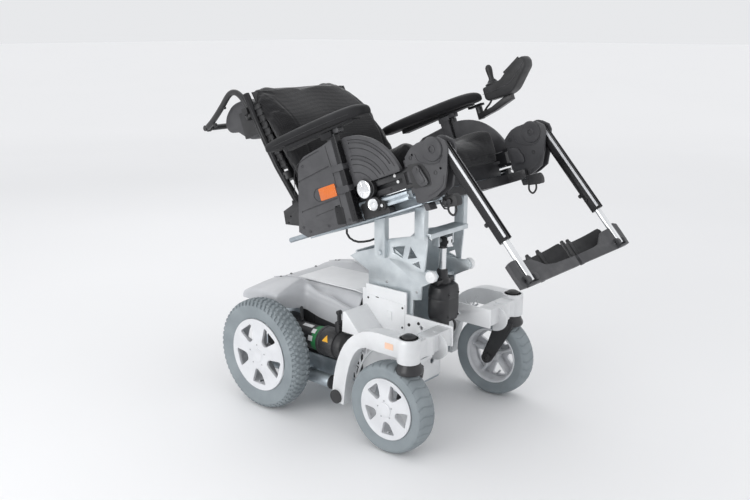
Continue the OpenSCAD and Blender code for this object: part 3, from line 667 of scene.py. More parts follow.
def shroud():
    """The rear cover: two fenders, a strip in front of each and a flat middle, as one moulded sheet."""
    ridge = [(-156, 350), (-140, 362), (-100, 375), (-50, 386), (0, 389), (37, 377), (85, 357), (140, 353),
             (198, 338), (243, 331)]
    middle = [(-156, 350), (-120, 365), (200, 371), (243, 366)]
    edge = [(-156, 340), (-140, 350), (-90, 359), (-20, 361), (8, 356), (30, 350), (85, 338), (140, 334),
            (198, 326), (243, 320)]
    skirt = [(-156, 319), (4, 319), (34, 292), (90, 277), (190, 266), (243, 300)]
    rows = []
    for x in (-156, -153, -146, -134, -110, -80, -50, -25, -8, 2, 6, 14, 22, 30, 38, 52, 70, 90, 115, 140,
              165, 190, 215, 232, 241):
        top, mid, out, low = (dot_row(t, x) for t in (ridge, middle, edge, skirt))
        wide = 247 - 103 * ramp(x, 3, 36)
        room = wide - 134
        row = [(0, mid), (30, mid), (60, mid), (90, mid), (102, mid), (109, mid * 0.6 + top * 0.4),
               (117, mid * 0.15 + top * 0.85), (125, top), (132, top - 0.5)]
        for t in (0.25, 0.5, 0.75):
            row.append((134 + room * t * 0.92, top + (out - top) * t ** 1.3))
        row += [(wide - min(6, room * 0.3), out + 1), (wide - 1.2, out - 4), (wide, out - 12),
                (wide, (out + low) / 2), (wide, low)]
        rows.append([Vector((x, y, z)) for y, z in row])
    for side, name in ((LEFT, "left"), (RIGHT, "right")):
        add = adder(name, side)
        bm = new()
        grid = [[bm.verts.new(p) for p in row] for row in rows]
        for a, b in zip(grid, grid[1:]):
            for k in range(len(a) - 1):
                bm.faces.new((a[k], b[k], b[k + 1], a[k + 1]))
        # rear face turned down over the edge
        last = [bm.verts.new((v.co.x - 1.5, v.co.y, 320)) for v in grid[0][:-3]]
        for k in range(len(last) - 1):
            bm.faces.new((grid[0][k], grid[0][k + 1], last[k + 1], last[k]))
        outward(bm)
        if sum(f.normal.z for f in bm.faces) < 0:
            bmesh.ops.reverse_faces(bm, faces=bm.faces)
        obj = piece(f"rear_shroud_{name}_half", bm, BASE, "chassis", "shroud_grey", side,
                    replaces="rear_shroud")
        modify(obj, "SUBSURF", levels=2, render_levels=2)
        modify(obj, "SOLIDIFY", thickness=4 * MM, offset=-1)
        baked(obj)
        smooth(obj, 50)
        screws = new()
        for x, y in ((-91, 134), (-70, 128), (205, 60), (-120, 60)):
            z = dot_row(ridge if y > 100 else middle, x)
            screw(screws, (x, y, z - 0.6), Z, 4.6, 2.0)
        add("rear_shroud_screws", screws, BASE, "chassis", "black_metal")
        # moulded line along the strip's crest
        seam = swept(new(), flowing([(-126, 134, 369), (-50, 134, 386.6), (0, 134, 389.4), (37, 134, 377.6),
                                     (85, 134, 357.8), (140, 134, 353.5), (198, 134, 338.6),
                                     (238, 134, 332)]), 1.1, 8)
        add("rear_shroud_line", seam, BASE, "chassis", "shroud_grey")
    # thin white panel on the flat middle, behind the lift
    plate = slab(new(), rounded([(-60, 372), (196, 377), (226, 374), (226, 370), (196, 373), (-60, 368)],
                                1.0, 2), -84, 84)
    piece("rear_shroud_panel", plate, BASE, "chassis", "white_cover", bevel=1.5)


def motors(name, add):
    """Motor with its cooling ring, gearbox, axle and cable, and the plain bands on it."""
    bm = new()
    axis = dict(origin=(0, 200, 235), direction=X, count=56)
    turned(bm, [(45, 36), (47, 39.5), (56, 39.5), (57, 38), (168, 38), (169, 41), (172, 41)], **axis)
    turned(bm, [(172, 43), (174, 45.6), (182, 45.6), (183.5, 44.4), (186, 44.4), (187.5, 45.6), (236, 45.6),
                (240, 43.5), (241, 41)], **axis)
    turned(bm, [(240, 39), (242, 40.6), (262, 40.6), (267, 38.5), (270.5, 33), (271.5, 22), (272, 0)], **axis)
    for i in range(26):
        t = 2 * math.pi * i / 26
        c, n = math.cos(t), math.sin(t)
        rod(bm, (186, 200 + 44.6 * c, 235 + 44.6 * n), (238, 200 + 44.6 * c, 235 + 44.6 * n), 1.4, 6)
    # gearbox with an eased outline, its cover and the hub of the drive axle
    box = oblong(-40, 45, 150, 280, [34, 22, 30, 40], 6)
    slab(bm, box, 160, 226)
    slab(bm, [(x * 0.94 + 0.2, 215 + (z - 215) * 0.94) for x, z in box], 226, 250)
    for x, z in ((-30, 176), (34, 162), (34, 268), (-22, 268), (-34, 222), (38, 214)):
        screw(bm, (x, 226, z), Y, 4.5, 5)
    turned(bm, [(250, 33), (255.5, 32), (256, 27)], (0, 0, 178), Y)
    rod(bm, (0, 250, 178), (0, 321, 178), 9.4)
    for y in (188, 208):
        slab(bm, oblong(228, 243, 265, 311, 5, 4), y, y + 4)
    rod(bm, (235, 190, 305), (235, 210, 305), 2.9, 16)
    # cable gland and power cable
    swept(bm, flowing([(70, 196, 273), (60, 188, 286), (46, 176, 296), (30, 160, 300)], 6), 5, 12)
    add("motor_body", bm, BASE, "chassis", "motor_black", bevel=0.7, replaces=f"motor_{name}")
    band = turned(new(), [(148, 38.3), (148, 38.9), (168, 38.9), (168, 38.3)], hollow=True, **axis)
    add("motor_band", band, BASE, "chassis", "label_green", slot="motor_black")
    patch = new()
    for x0, x1, r, a0, a1 in ((92, 134, 38.7, 64, 84), (142, 158, 39.4, 40, 62), (136, 154, 39.3, 2, 26)):
        curved_patch(patch, x0, x1, 200, 235, r, a0, a1)
    add("motor_labels", patch, BASE, "chassis", "label_white", slot="motor_black")
    sign = new()
    curved_patch(sign, 202, 226, 200, 235, 46.2, 20, 46, taper=True)
    add("motor_triangle", sign, BASE, "chassis", "label_yellow", slot="motor_black")


def curved_patch(bm, x0, x1, cy, cz, r, a0, a1, taper=False, steps=8):
    """A thin patch that lies on a cylinder along x; tapered, it is a triangle."""
    rings = []
    for k in range(steps + 1):
        t = k / steps
        c, s = polar(a0 + (a1 - a0) * t)
        shrink = (x1 - x0) / 2 * t * 0.96 if taper else 0
        rings.append([(x, cy + (r + extra) * c, cz + (r + extra) * s) for x, extra in
                      ((x0 + shrink, 0), (x1 - shrink, 0), (x1 - shrink, 0.35), (x0 + shrink, 0.35))])
    loft(bm, rings)


def caster_arms(name, add):
    """Cast arms: the arch, the round head with its cap, the boss and the fin beside it."""
    refined(f"caster_arm_{name}", "cast_silver", bevel=5, segments=3)
    extra = turned(new(), [(284.5, 30), (286, 33.6), (300, 34), (344, 34), (352, 33.2), (355.5, 31),
                           (356, 27)], (561, 268, 0), Z, 64)
    # boss inboard of the head and the quarter-disc fin
    turned(extra, [(290, 22), (291, 24), (345, 24), (347.5, 21.5)], (567, 198, 0), Z, 48)
    # the fin ends above the tyre's path when the caster turns
    fin = [(561, 346), *((561 + 52 * c, 303 + 43 * s) for c, s in map(polar, range(84, -90, -11))),
           (561, 260)]
    slab(extra, fin, 154, 160)
    add("caster_arm_head", extra, BASE, "chassis", "cast_silver", bevel=1.2)
    strips = new()
    inner = [(344, 120), (352, 168), (366, 212), (388, 250), (416, 280), (440, 296)]
    outer = [(316, 122), (322, 170), (336, 222), (362, 268), (396, 304), (436, 322)]
    for starts, ends, radius in ((inner, outer[1:], 3.2), (outer[1:], inner[1:], 2.6)):
        for (x0, z0), (x1, z1) in zip(starts, ends):
            rod(strips, (x0, 250.5, z0), (x1, 250.5, z1), radius, 10)
    swept(strips, flowing([(x, 251, z) for x, z in inner], 6), 3.4, 10)
    add("caster_arm_ribs", strips, BASE, "chassis", "cast_silver")
    label = slab(new(), oblong(498, 528, 318, 336, 2, 3), 296.2, 296.8)
    add("caster_arm_patch", label, BASE, "chassis", "label_orange", slot="cast_silver")


def caster_forks(name, add):
    """One-sided cast fork: crown, stem, curved blade and axle."""
    bm = turned(new(), [(250, 30), (253, 37), (259, 39.5), (266, 38.5), (276, 33), (283, 31), (285, 28)],
                (561, 264, 0), Z, 56)
    rod(bm, (561, 268, 284), (561, 268, 351), 11.5)
    # one broad blade on the inner side, from under the crown to the axle
    rings = []
    path = [((561, 276), 27, 232), ((558, 262), 29, 228), ((550, 240), 29, 221), ((540, 215), 27, 219),
            ((526, 184), 23, 218.5), ((512, 156), 21, 218.5), ((503, 138), 20, 218.5),
            ((498, 122), 13, 218.5)]
    for i, ((x, z), half, y) in enumerate(path):
        (xa, za), (xb, zb) = path[max(i - 1, 0)][0], path[min(i + 1, len(path) - 1)][0]
        d = Vector((xb - xa, zb - za)).normalized()
        across = Vector((d.y, -d.x)) * -1
        y1 = y + 10 if i > 1 else 262 - i * 12
        rings.append([Vector((x + across.x * half * s, yy, z + across.y * half * s))
                      for s, yy in ((-1, y + 1.5), (-0.6, y), (0.6, y), (1, y + 1.5), (1, y1 - 2), (0.7, y1),
                                    (-0.7, y1), (-1, y1 - 2))])
    loft(bm, rings)
    turned(bm, [(212, 13), (213, 17), (218, 18), (229, 18), (231, 15)], (502, 0, 134), Y, 32)
    rod(bm, (502, 214, 134), (502, 297, 134), 5.6, 20)
    screw(bm, (502, 213, 134), (0, -1, 0), 9, 5)
    add("caster_fork_casting", tidy(bm), BASE, f"caster_fork_{name}", "black_metal", bevel=1.2,
        replaces=f"caster_fork_{name}")


def lift_parts(name, add):
    """Bushes, rollers and screws of the lift, and the outer panels of its housing."""
    brass = turned(new(), [(94, 9), (95, 11.5), (100, 11.5), (101, 9.5), (101, 5)], (318, 0, 524), Y, 32)
    add("tilt_bush", brass, BASE, "lift_carriage", "brass", slot="chrome")
    roller = turned(new(), [(91, 12), (92, 17), (98, 18), (103, 17), (104.5, 14), (104, 8), (105.5, 6),
                            (106, 2)], (506, 0, 481), Y, 40)
    add("lift_roller", roller, BASE, "lift_carriage", "white_cover")
    screws = new()
    for x, z in ((330, 430), (290, 400), (446, 420), (300, 290), (380, 290)):
        screw(screws, (x, 86, z), Y, 4.6, 2.6)
    add("lift_plate_screws", screws, BASE, "lift_carriage", "screw_steel", slot="chrome")
    bolts = new()
    for x, z in ((466, 330), (430, 318)):
        screw(bolts, (x, 102, z), Y, 5, 3)
    add("housing_bolts", bolts, BASE, "chassis", "black_metal")
    panel = slab(new(), rounded([(262, 296), (414, 296), (414, 376), (262, 384)], 3, 3), 102, 104.6)
    slab(panel, oblong(346, 366, 318, 346, 3, 3), 104.6, 107.5)
    for x, z in ((356, 324), (356, 340)):
        screw(panel, (x, 107.5, z), Y, 3, 1.2)
    add("housing_panel", panel, BASE, "chassis", "white_cover", bevel=1.4)
    marks = slab(new(), rounded([(301, 379), (313, 378.5), (313, 381), (301, 381.5)], 1, 2), 104.6, 106)
    for x, z in ((270, 372), (406, 366), (406, 304)):
        screw(marks, (x, 104.6, z), Y, 3.6, 1.6)
    add("housing_marks", marks, BASE, "chassis", "black_metal")


def actuator():
    """The tilt actuator's ribbed case, and the cheeks at the head of its rod."""
    bm = turned(new(), [(268, 20), (271, 24), (318, 24), (323, 21)], (475, 0, 0), Z, 48)
    plan = rounded([(448, -46), (500, -46), (519, -30), (519, 30), (500, 46), (448, 46)],
                   [22, 16, 12, 12, 16, 22], 6)
    loft(bm, [[(x, y, z) for x, y in shrunk(plan, (483, 0), k)]
              for z, k in ((322, 0.78), (326, 0.9), (334, 0.97), (346, 1.0), (392, 1.0), (393, 0.985),
                           (396, 0.985), (397, 1.0), (418, 1.0), (430, 0.94), (436, 0.8), (438, 0.6))])
    slab(bm, oblong(459, 491, 436, 452, 3, 3), -40, 40)
    turned(bm, [(436, 26), (446, 24), (456, 18), (458, 16.8), (474, 16.8), (479, 15)], (475, 0, 0), Z, 48)
    for z in (340, 410):
        for y in (-24, 24):
            screw(bm, (519, y, z), X, 3.4, 2)
    swept(bm, flowing([(500, 20, 324), (508, 26, 306), (500, 30, 282), (474, 34, 262), (448, 30, 250)], 6), 4,
          10)
    piece("tilt_actuator_case", bm, BASE, "lift_carriage", "black_metal", bevel=1.4, segments=3,
          replaces="tilt_actuator")
    fork = new()
    for y in (-13, 6):
        slab(fork, oblong(450, 500, 553, 583, 10, 5), y, y + 7)
    turned(fork, [(545, 13), (546.5, 15.4), (554, 15.4), (557, 12.4)], (475, 0, 0), Z, 32)
    piece("actuator_fork", fork, BASE, "tilt_rod", "black_metal", bevel=0.8)


# ---------------------------------------------------------------- upholstery


CUSHION_VOXEL = 5.0       # millimetres
CUSHION_PRESSURE = 4.5
CUSHION_FRAMES = 20
CUSHION_RISE = 24         # millimetres a point may move at most


def inflate(obj, hold):
    """Swells a closed form with a cloth simulation. hold(place) is the share of CUSHION_RISE that
    a point may move."""
    modify(obj, "REMESH", mode="VOXEL", voxel_size=CUSHION_VOXEL * MM)
    baked(obj)
    mesh = obj.data
    rest = [v.co.copy() for v in mesh.vertices]
    scene = bpy.context.scene
    cloth = obj.modifiers.new("cloth", "CLOTH")
    assign(cloth.settings, quality=5, mass=0.3, use_pressure=True, uniform_pressure_force=CUSHION_PRESSURE,
           tension_stiffness=12, compression_stiffness=12, shear_stiffness=8, bending_stiffness=1.5)
    cloth.settings.effector_weights.gravity = 0
    cloth.collision_settings.use_collision = False
    assign(cloth.point_cache, frame_start=1, frame_end=CUSHION_FRAMES)
    for f in range(1, CUSHION_FRAMES + 1):
        scene.frame_set(f)
        bpy.context.view_layer.update()
    graph = bpy.context.evaluated_depsgraph_get()
    swollen = [v.co.copy() for v in obj.evaluated_get(graph).data.vertices]
    obj.modifiers.clear()
    for v, a, b in zip(mesh.vertices, rest, swollen):
        move = b - a
        limit = CUSHION_RISE * MM * hold(a)
        if move.length > limit:
            move *= limit / max(move.length, 1e-9)
        v.co = a + move
    scene.frame_set(1)
    modify(obj, "SMOOTH", factor=0.5, iterations=3)
    baked(obj)


def upholstered(node, material, shrink, hold, seams):
    """A cushion made from its CAD form: drawn in, swollen, seamed and smoothed."""
    source = frame["nodes"][node]
    bm = new()
    bm.from_mesh(source.data)
    bmesh.ops.remove_doubles(bm, verts=bm.verts, dist=1e-5)
    low, high = (Vector(c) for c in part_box(node))
    inverse = SEAT.inverted()
    c = inverse @ ((low + high) / 2)
    for v in bm.verts:
        p = inverse @ v.co
        v.co = SEAT @ Vector([c[i] + (p[i] - c[i]) * shrink[i] for i in range(3)])
    obj = solid(node + "_cover", bm)
    inflate(obj, lambda p: hold(inverse @ p))
    for v in obj.data.vertices:
        p = inverse @ v.co
        v.co = SEAT @ (p + seams(p))
    modify(obj, "SUBSURF", levels=1, render_levels=1)
    baked(obj)
    finished(obj, source["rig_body"], material, material, node, 60)


def cushions():
    def seat_hold(p):
        return 0.15 + 0.85 * ramp(p.z, 172, 215)

    def seat_seams(p):
        # a sewn line round the base border
        dip = math.exp(-((p.z - 188) / 2.2) ** 2) * 2.2
        out = Vector((p.x - 60, p.y, 0))
        v = out.normalized() * -dip if out.length > 1 else Vector()
        # thighs lie in two shallow channels between raised bolsters
        top = ramp(p.z, 200, 240) * ramp(p.x, -60, 140)
        v.z += top * (26 * ramp(abs(p.y), 110, 190) - 6 * math.exp(-((abs(p.y) - 80) / 60) ** 2))
        return v

    upholstered("seat_cushion", "seat_fabric", (0.965, 0.955, 0.9), seat_hold, seat_seams)

    def back_hold(p):
        return 0.6 + 0.4 * ramp(p.x, -200, -150)

    def back_seams(p):
        # side panels meet the front in a sewn line, and the front is hollowed between its bolsters
        v = Vector()
        line = math.exp(-((abs(p.y) - 172) / 2.4) ** 2)
        front = ramp(p.x + (p.z - 240) * 0.25, -165, -140)
        v.x -= line * 2.6 * front
        v.x -= 9 * front * math.exp(-(p.y / 95) ** 2)
        # the top leans back over the tubes
        lean = ramp(p.z, 470, 606)
        corner = ramp(abs(p.y), 110, 200)
        v.x -= (40 + 26 * corner) * lean
        v.z += (14 + 20 * corner) * lean
        return v

    upholstered("back_cushion", "back_fabric", (0.9, 0.955, 0.975), back_hold, back_seams)


def arm_pads(name, add):
    """Armrest pads: crowned, tapering and rounded at both ends, with a mould line."""
    bm = new()
    base = [(-190, 21, 5, 24), (-188, 26, 2, 29), (-178, 28, 0, 32), (-140, 29, 0, 35), (-80, 30, 0, 37),
            (0, 30, 0, 38), (90, 30, 0, 38.5), (150, 30, -1, 37), (186, 29, -2, 34), (206, 26, -2, 29),
            (217, 19, 0, 23), (221, 10, 5, 17)]
    rings = []
    for u, half, low, high in base:
        h = high - low
        section = [(-1.0, 0.32), (-0.97, 0.62), (-0.8, 0.88), (-0.4, 1.0), (0.0, 1.03), (0.4, 1.0),
                   (0.8, 0.88), (0.97, 0.62), (1.0, 0.32), (0.93, 0.08), (0.6, 0.0), (0, 0), (-0.6, 0.0),
                   (-0.93, 0.08)]
        rings.append([(u, 268 + half * y, 372 + low + h * z) for y, z in section])
    outward(loft(bm, rings))
    pad = add("arm_pad_foam", bm, SEAT, f"armrest_{name}", "pad_charcoal", subdivide=2,
              replaces=f"arm_pad_{name}", angle=60)
    line = new()
    outline = flowing([(-170, 294.6, 384), (-90, 298.2, 385), (0, 299, 386), (90, 299, 386),
                       (160, 297.6, 384), (200, 291, 381)], 6)
    swept(line, outline, 0.8, 6)
    add("arm_pad_line", line, SEAT, f"armrest_{name}", "black_plastic")


# ---------------------------------------------------------------- seat sides, legs and controls


def groove(bm, points, y, radius=0.9, per=6):
    """A moulded line on a side face: a thin half-sunk bead."""
    swept(bm, flowing([(x, y, z) for x, z in points], per), radius, 6)


def side_trim(name, add):
    """What shows on the outside of a rail and an armrest panel."""
    rail, arm = "seat", f"armrest_{name}"
    discs = turned(new(), [(271, 19), (273, 24), (279, 25.5), (282, 25), (283, 23.4), (283.4, 20),
                           (283.2, 0)], (141, 0, 180), Y, 56)
    for k in range(12):
        c, s = polar(30 * k + 8)
        rod(discs, (141 + 9 * c, 282.6, 180 + 9 * s), (141 + 21 * c, 282.6, 180 + 21 * s), 1.5, 8)
    turned(discs, [(271, 15), (274, 17), (278, 17.4), (280, 16), (278.4, 11), (279.6, 6), (280, 0)],
           (156, 0, 133), Y, 40)
    turned(discs, [(256, 5), (269, 5), (270, 4), (270, 2)], (178, 0, 124), Y, 24)
    add("side_discs", discs, SEAT, rail, "chrome")
    knob = turned(new(), [(256, 12), (258, 13), (266, 13), (268, 11.5), (268, 8), (262, 7.5), (262, 5.6)],
                  (178, 0, 124), Y, 32)
    turned(knob, [(256, 27), (262, 29), (270, 28.5), (271, 26)], (141, 0, 180), Y, 40)
    turned(knob, [(256, 19), (262, 20.4), (270, 20), (271, 18)], (156, 0, 133), Y, 40)
    slab(knob, rounded([(97, 100), (196, 100), (196, 112), (152, 144), (97, 144)], 6, 4), 238, 262)
    # clips and fasteners along the rail
    for u in (-96, -40, 40, 100, 214):
        screw(knob, (u, 256, 158), Y, 3.6, 2)
    add("side_knobs", knob, SEAT, rail, "black_plastic")
    dots = new()
    for u, w in ((240, 190), (246, 172)):
        turned(dots, [(256, 4.6), (257.4, 4.2), (257.8, 0)], (u, 0, w), Y, 20)
    add("side_dots", dots, SEAT, rail, "label_white", slot="black_metal")
    # two chrome strips along the rail are a painted highlight: they stand for the bright line on the
    # extrusion
    strips = new()
    for w0, w1 in ((130, 141), (146, 149.5)):
        slab(strips, [(150, w0), (262, w0), (262, w1), (150, w1)], 238, 250)
    add("side_strips", strips, SEAT, rail, "chrome", bevel=0.8)

    reflector = slab(new(), oblong(-20, 47, 186, 222, 4, 4), 287.5, 291)
    add("reflector", reflector, SEAT, arm, "amber", bevel=1.0, slot="panel_charcoal")
    # moulded lines on the armrest panel, as beads darker than the panel: the shape is moulded, the darker
    # colour is painted shade in the grooves
    lines = new()
    groove(lines, [(-122, 226), (-100, 286), (-84, 304), (-50, 316), (20, 324)], 288.2, 1.1)
    groove(lines, [(-20, 224), (-34, 222), (-46, 206), (-36, 190), (-20, 184)], 288.2, 0.9)
    groove(lines, [(50, 330), (52, 250), (50, 180), (48, 100)], 288.4, 0.9, 3)
    groove(lines, [(-60, 150), (-10, 153), (20, 154)], 288.2, 0.8, 3)
    add("armrest_lines", lines, SEAT, arm, "black_plastic")
    # rings pressed into the quarter-disc guard, which stays with the seat when the armrest rises; the beads
    # are moulded lines, and their colour, darker than the guard, is painted shade in the grooves
    rings = new()
    for r in (164, 141, 120, 96, 74):
        arc = map(polar, range(84, 15 if r > 80 else 24, -5))
        groove(rings, [(105 + r * c, 160 + r * s) for c, s in arc], 270.3, 1.0, 2)
    add("guard_rings", rings, SEAT, rail, "black_plastic")
    strap = new()
    for w in (196, 258):
        slab(strap, oblong(52, 100, w - 9, w + 9, 6, 4), 270, 293)
    slab(strap, oblong(90, 112, 352, 366, 4, 3), 262, 284)
    for u, w in ((-100, 112), (-124, 130), (-20, 112), (66, 112), (-60, 300)):
        screw(strap, (u, 288, w), Y, 4.2, 1.8)
    add("armrest_straps", strap, SEAT, arm, "legrest_grey", bevel=1.0)
    channel = slab(new(), rounded([(76, 104), (98, 104), (98, 352), (80, 352)], 2, 3), 270.6, 290)
    slab(channel, rounded([(16, 108), (50, 104), (54, 152), (22, 158)], 5, 4), 286, 289.2)
    add("armrest_channel", channel, SEAT, arm, "tube_black", bevel=1.0)


def legs(name, add):
    """Legrest housing with its lever, leg tube, slider and footplate."""
    body = f"legrest_{name}"
    refined(f"legrest_{name}", "legrest_grey", bevel=7, segments=4)
    face, dark = new(), new()
    for y, out in ((264, 1), (222, -1)):
        # round knee cap with a ringed screw, and raised rim lines of the housing
        turned(face, [(-1, 31), (2, 32), (4.5, 30), (5, 20), (4.4, 11), (5.6, 10.4), (6, 7.5), (3.5, 7),
                      (3.5, 0)],
               (391, y, 223), (0, out, 0), 56)
        for rim_line in ([(330, 226), (336, 206), (352, 196), (372, 188), (398, 186), (416, 200)],
                         [(404, 150), (392, 128), (366, 116), (340, 110)]):
            groove(face, rim_line, y + out * 0.4, 1.3)
        # dark cups where the housing's holes are: painted shade
        for u, w, r in ((314, 220, 5), (381, 163, 5.5), (402, 236, 2.6)):
            turned(dark, [(-0.5, r), (0.9, r), (0.9, r * 0.72), (-1.2, r * 0.7), (-1.2, 0)], (u, y, w),
                   (0, out, 0), 24)
        # a thin dark sheet on the outer face only, where the recess behind the release lever is: painted
        # shade
        if out > 0:
            slab(dark, rounded([(296, 206), (345, 200), (362, 166), (358, 134), (298, 140)],
                               [10, 16, 14, 8, 8], 5),
                 y - 0.4, y + 0.9)
    add("legrest_cap", face, SEAT, body, "legrest_grey")
    add("legrest_recess", dark, SEAT, body, "black_plastic")
    paddle = slab(new(), rounded([(304, 196), (334, 190), (348, 160), (346, 142), (312, 146)],
                                 [8, 12, 10, 6, 6], 5), 215.5, 221)
    slab(paddle, rounded([(310, 96), (326, 94), (330, 74), (312, 76)], 4, 3), 228, 258)
    add("legrest_paddle", paddle, SEAT, body, "legrest_grey", bevel=1.6, segments=3)
    button = turned(new(), [(-8, 14), (5, 14), (9, 12), (12, 7), (12.6, 0)], (334, 243, 240), (-0.5, 0, 0.86),
                    32)
    add("legrest_button", button, SEAT, body, "button_grey")
    lever = new()
    outline = rounded([(312, 190), (338, 194), (354, 150), (352, 140), (330, 138), (318, 152)], 7, 5)
    slab(lever, outline, 265, 271)
    slab(lever, [(333 + (u - 333) * 0.62, 168 + (w - 168) * 0.68) for u, w in outline], 271, 273.6)
    turned(lever, [(264.6, 10), (273.6, 10), (274, 8)], (330, 0, 186), Y, 32)
    add("legrest_lever_plate", lever, SEAT, f"legrest_lever_{name}", "legrest_grey",
        bevel=1.2, replaces=f"legrest_lever_{name}")

    refined(f"leg_tube_{name}", "tube_black", bevel=2.4, segments=3)
    tube = f"lower_leg_{name}"
    # two light strips on the leg tube's front corners are a painted highlight: they stand for the tube's
    # reflections, in a barely metallic silver so that they stay bright
    highlight_strips = new()
    for y in (-9.6, 9.6):
        slab(highlight_strips, rounded([(9, -302), (9, -16), (15.2, -16), (15.2, -302)], 1, 2), 246 + y - 1.6,
             246 + y + 1.6)
    add("leg_groove", highlight_strips, LEG, tube, "silver_rim")
    stop = turned(new(), [(14, 4), (17, 4), (17.5, 6), (24, 6), (25.5, 4.4), (25.5, 0)], (0, 246, -248),
                  (-1, 0, 0), 20)
    turned(stop, [(-18, 0), (-17.5, 9), (-15, 10), (-12, 10)], (-2, 246, -30), Y, 24)
    add("leg_stop", stop, LEG, tube, "black_plastic")
    slider = f"leg_extension_{name}"
    inner = turned(new(), [(-426, 8.4), (-425, 9.3), (-80, 9.3)], (0, 246, 0), Z, 32)
    rod(inner, (0, 224, -420), (0, 260, -420), 3.9, 16)
    add("leg_inner_tube", inner, LEG, slider, "chrome", replaces=f"leg_slider_{name}")

    refined(f"footplate_{name}", "legrest_grey", bevel=2.6, segments=3)
    heel_strap(name, add)


def heel_strap(name, add):
    """Webbing strap that bows out behind the footplate, with two press buttons and a slider."""
    bm = new()
    centre, reach, steps = 114, 107, 28
    rings = []

    def bow(t):
        return centre + reach * t, -12 - 46 * (1 - t * t) ** 0.8

    for k in range(steps + 1):
        t = -1 + 2 * k / steps
        y, depth = bow(t)
        wave = 1.2 * math.sin(9 * t)
        rings.append([Vector((depth + dx + wave * dz, y, z)) for dx, dz, z in
                      ((0, 0, -426), (-0.4, 0.2, -408), (-0.6, 0.6, -390), (-0.4, 0.2, -372), (0, 0, -356),
                       (-3.2, 0, -355), (-4.4, 0.3, -372), (-4.6, 0.6, -390), (-4.4, 0.3, -408),
                       (-3.2, 0, -427))])
    loft(bm, rings)
    add("heel_strap_webbing", bm, LEG, f"footplate_{name}", "strap_black", subdivide=1,
        replaces=f"heel_strap_{name}", angle=50)
    fit = new()
    for t in (-0.45, -0.05):
        y, depth = bow(t)
        slab(fit, oblong(depth - 6, depth + 2, -428, -352, 2, 3), y - 7, y + 7)
        turned(fit, [(0, 5), (5, 5.5), (8, 3.5), (8.6, 0)], (depth - 2, y, -353), Z, 16)
    add("heel_strap_buckles", fit, LEG, f"footplate_{name}", "black_plastic", bevel=0.8)


def backrest():
    """Shell, racks beside the cushion, moulded cases behind it and tube clamps."""
    refined("back_shell", "black_plastic", bevel=6, segments=3)
    for name, side in SIDES.items():
        add = adder(name, side)
        # ribbed rack between the tube and the cushion
        rack = new()
        tube = [(318, -230), (336, -236), (405, -254), (460, -266), (520, -277), (585, -288)]
        stations = [322 + 11 * k for k in range(21)]
        across = ((-4, 208), (30, 208), (34, 212), (30, 216), (-4, 216))
        loft(rack, [[(dot_row(tube, w) + x, y, w) for x, y in across] for w in stations])
        for k, w in enumerate(stations[1:-1:2]):
            u = dot_row(tube, w)
            slab(rack, oblong(u + 12, u + 36, w - 4, w + 4, 2, 3), 207, 220)
            if k % 3 == 1:
                screw(rack, (u + 20, 220, w), Y, 4.4, 3)
        add("back_rack", rack, SEAT, "backrest", "black_plastic", bevel=0.8)
        case = new()
        outline = rounded([(-300, 470), (-292, 556), (-334, 584), (-402, 586), (-446, 562), (-466, 530),
                           (-450, 500), (-412, 496), (-388, 474), (-352, 450), (-318, 452)],
                          [10, 16, 20, 26, 26, 20, 16, 14, 14, 16, 14], 5)
        pillow(case, outline, (-376, 520),
               ((128, 0.86), (132, 0.95), (140, 1.0), (180, 1.0), (188, 0.96), (191, 0.88)))
        add("back_case", case, SEAT, "backrest", "legrest_grey", subdivide=1, angle=50)
        clamps = new()
        for w, u in ((524, -306), (300, -216)):
            turned(clamps, [(-13, 16.5), (-11, 18), (11, 18), (13, 16.5)], (u, 206, w),
                   (-0.19, 0, 0.98), 28)
            screw(clamps, (u, 222, w), Y, 6, 6)
        add("back_clamps", clamps, SEAT, "backrest", "black_plastic")


def push_bar():
    """The bent bar behind the backrest, with its end caps and clamps."""
    half = [(-300, 206, 520), (-312, 206, 556), (-324, 206, 584), (-340, 206, 604), (-358, 206, 613),
            (-376, 206, 613), (-396, 206, 606), (-430, 204, 590), (-470, 202, 573), (-510, 199, 559),
            (-536, 196, 553), (-548, 188, 551), (-552, 174, 551)]
    full = half + [(u, -y, w) for u, y, w in reversed(half)]
    bm = swept(new(), flowing(full, 4), 9.6, 24)
    piece("push_bar_tube", bm, SEAT, "backrest", "black_metal", replaces="push_bar")
    ends = new()
    for g in (-1, 1):
        turned(ends, [(0, 10), (4, 12.4), (14, 12.4), (17, 10)], (-552, g * 176, 551), (0, g, 0), 28)
        slab(ends, oblong(-318, -293, 524, 546, 4, 3), min(g * 192, g * 229), max(g * 192, g * 229))
        screw(ends, (-420, g * 205, 582), (0.3, 0, -0.95), 5, 5)
        turned(ends, [(0, 6), (6, 7), (12, 5)], (-500, g * 196, 552), (0, 0, -1), 18)
    piece("push_bar_fittings", ends, SEAT, "backrest", "black_plastic", bevel=1.0)


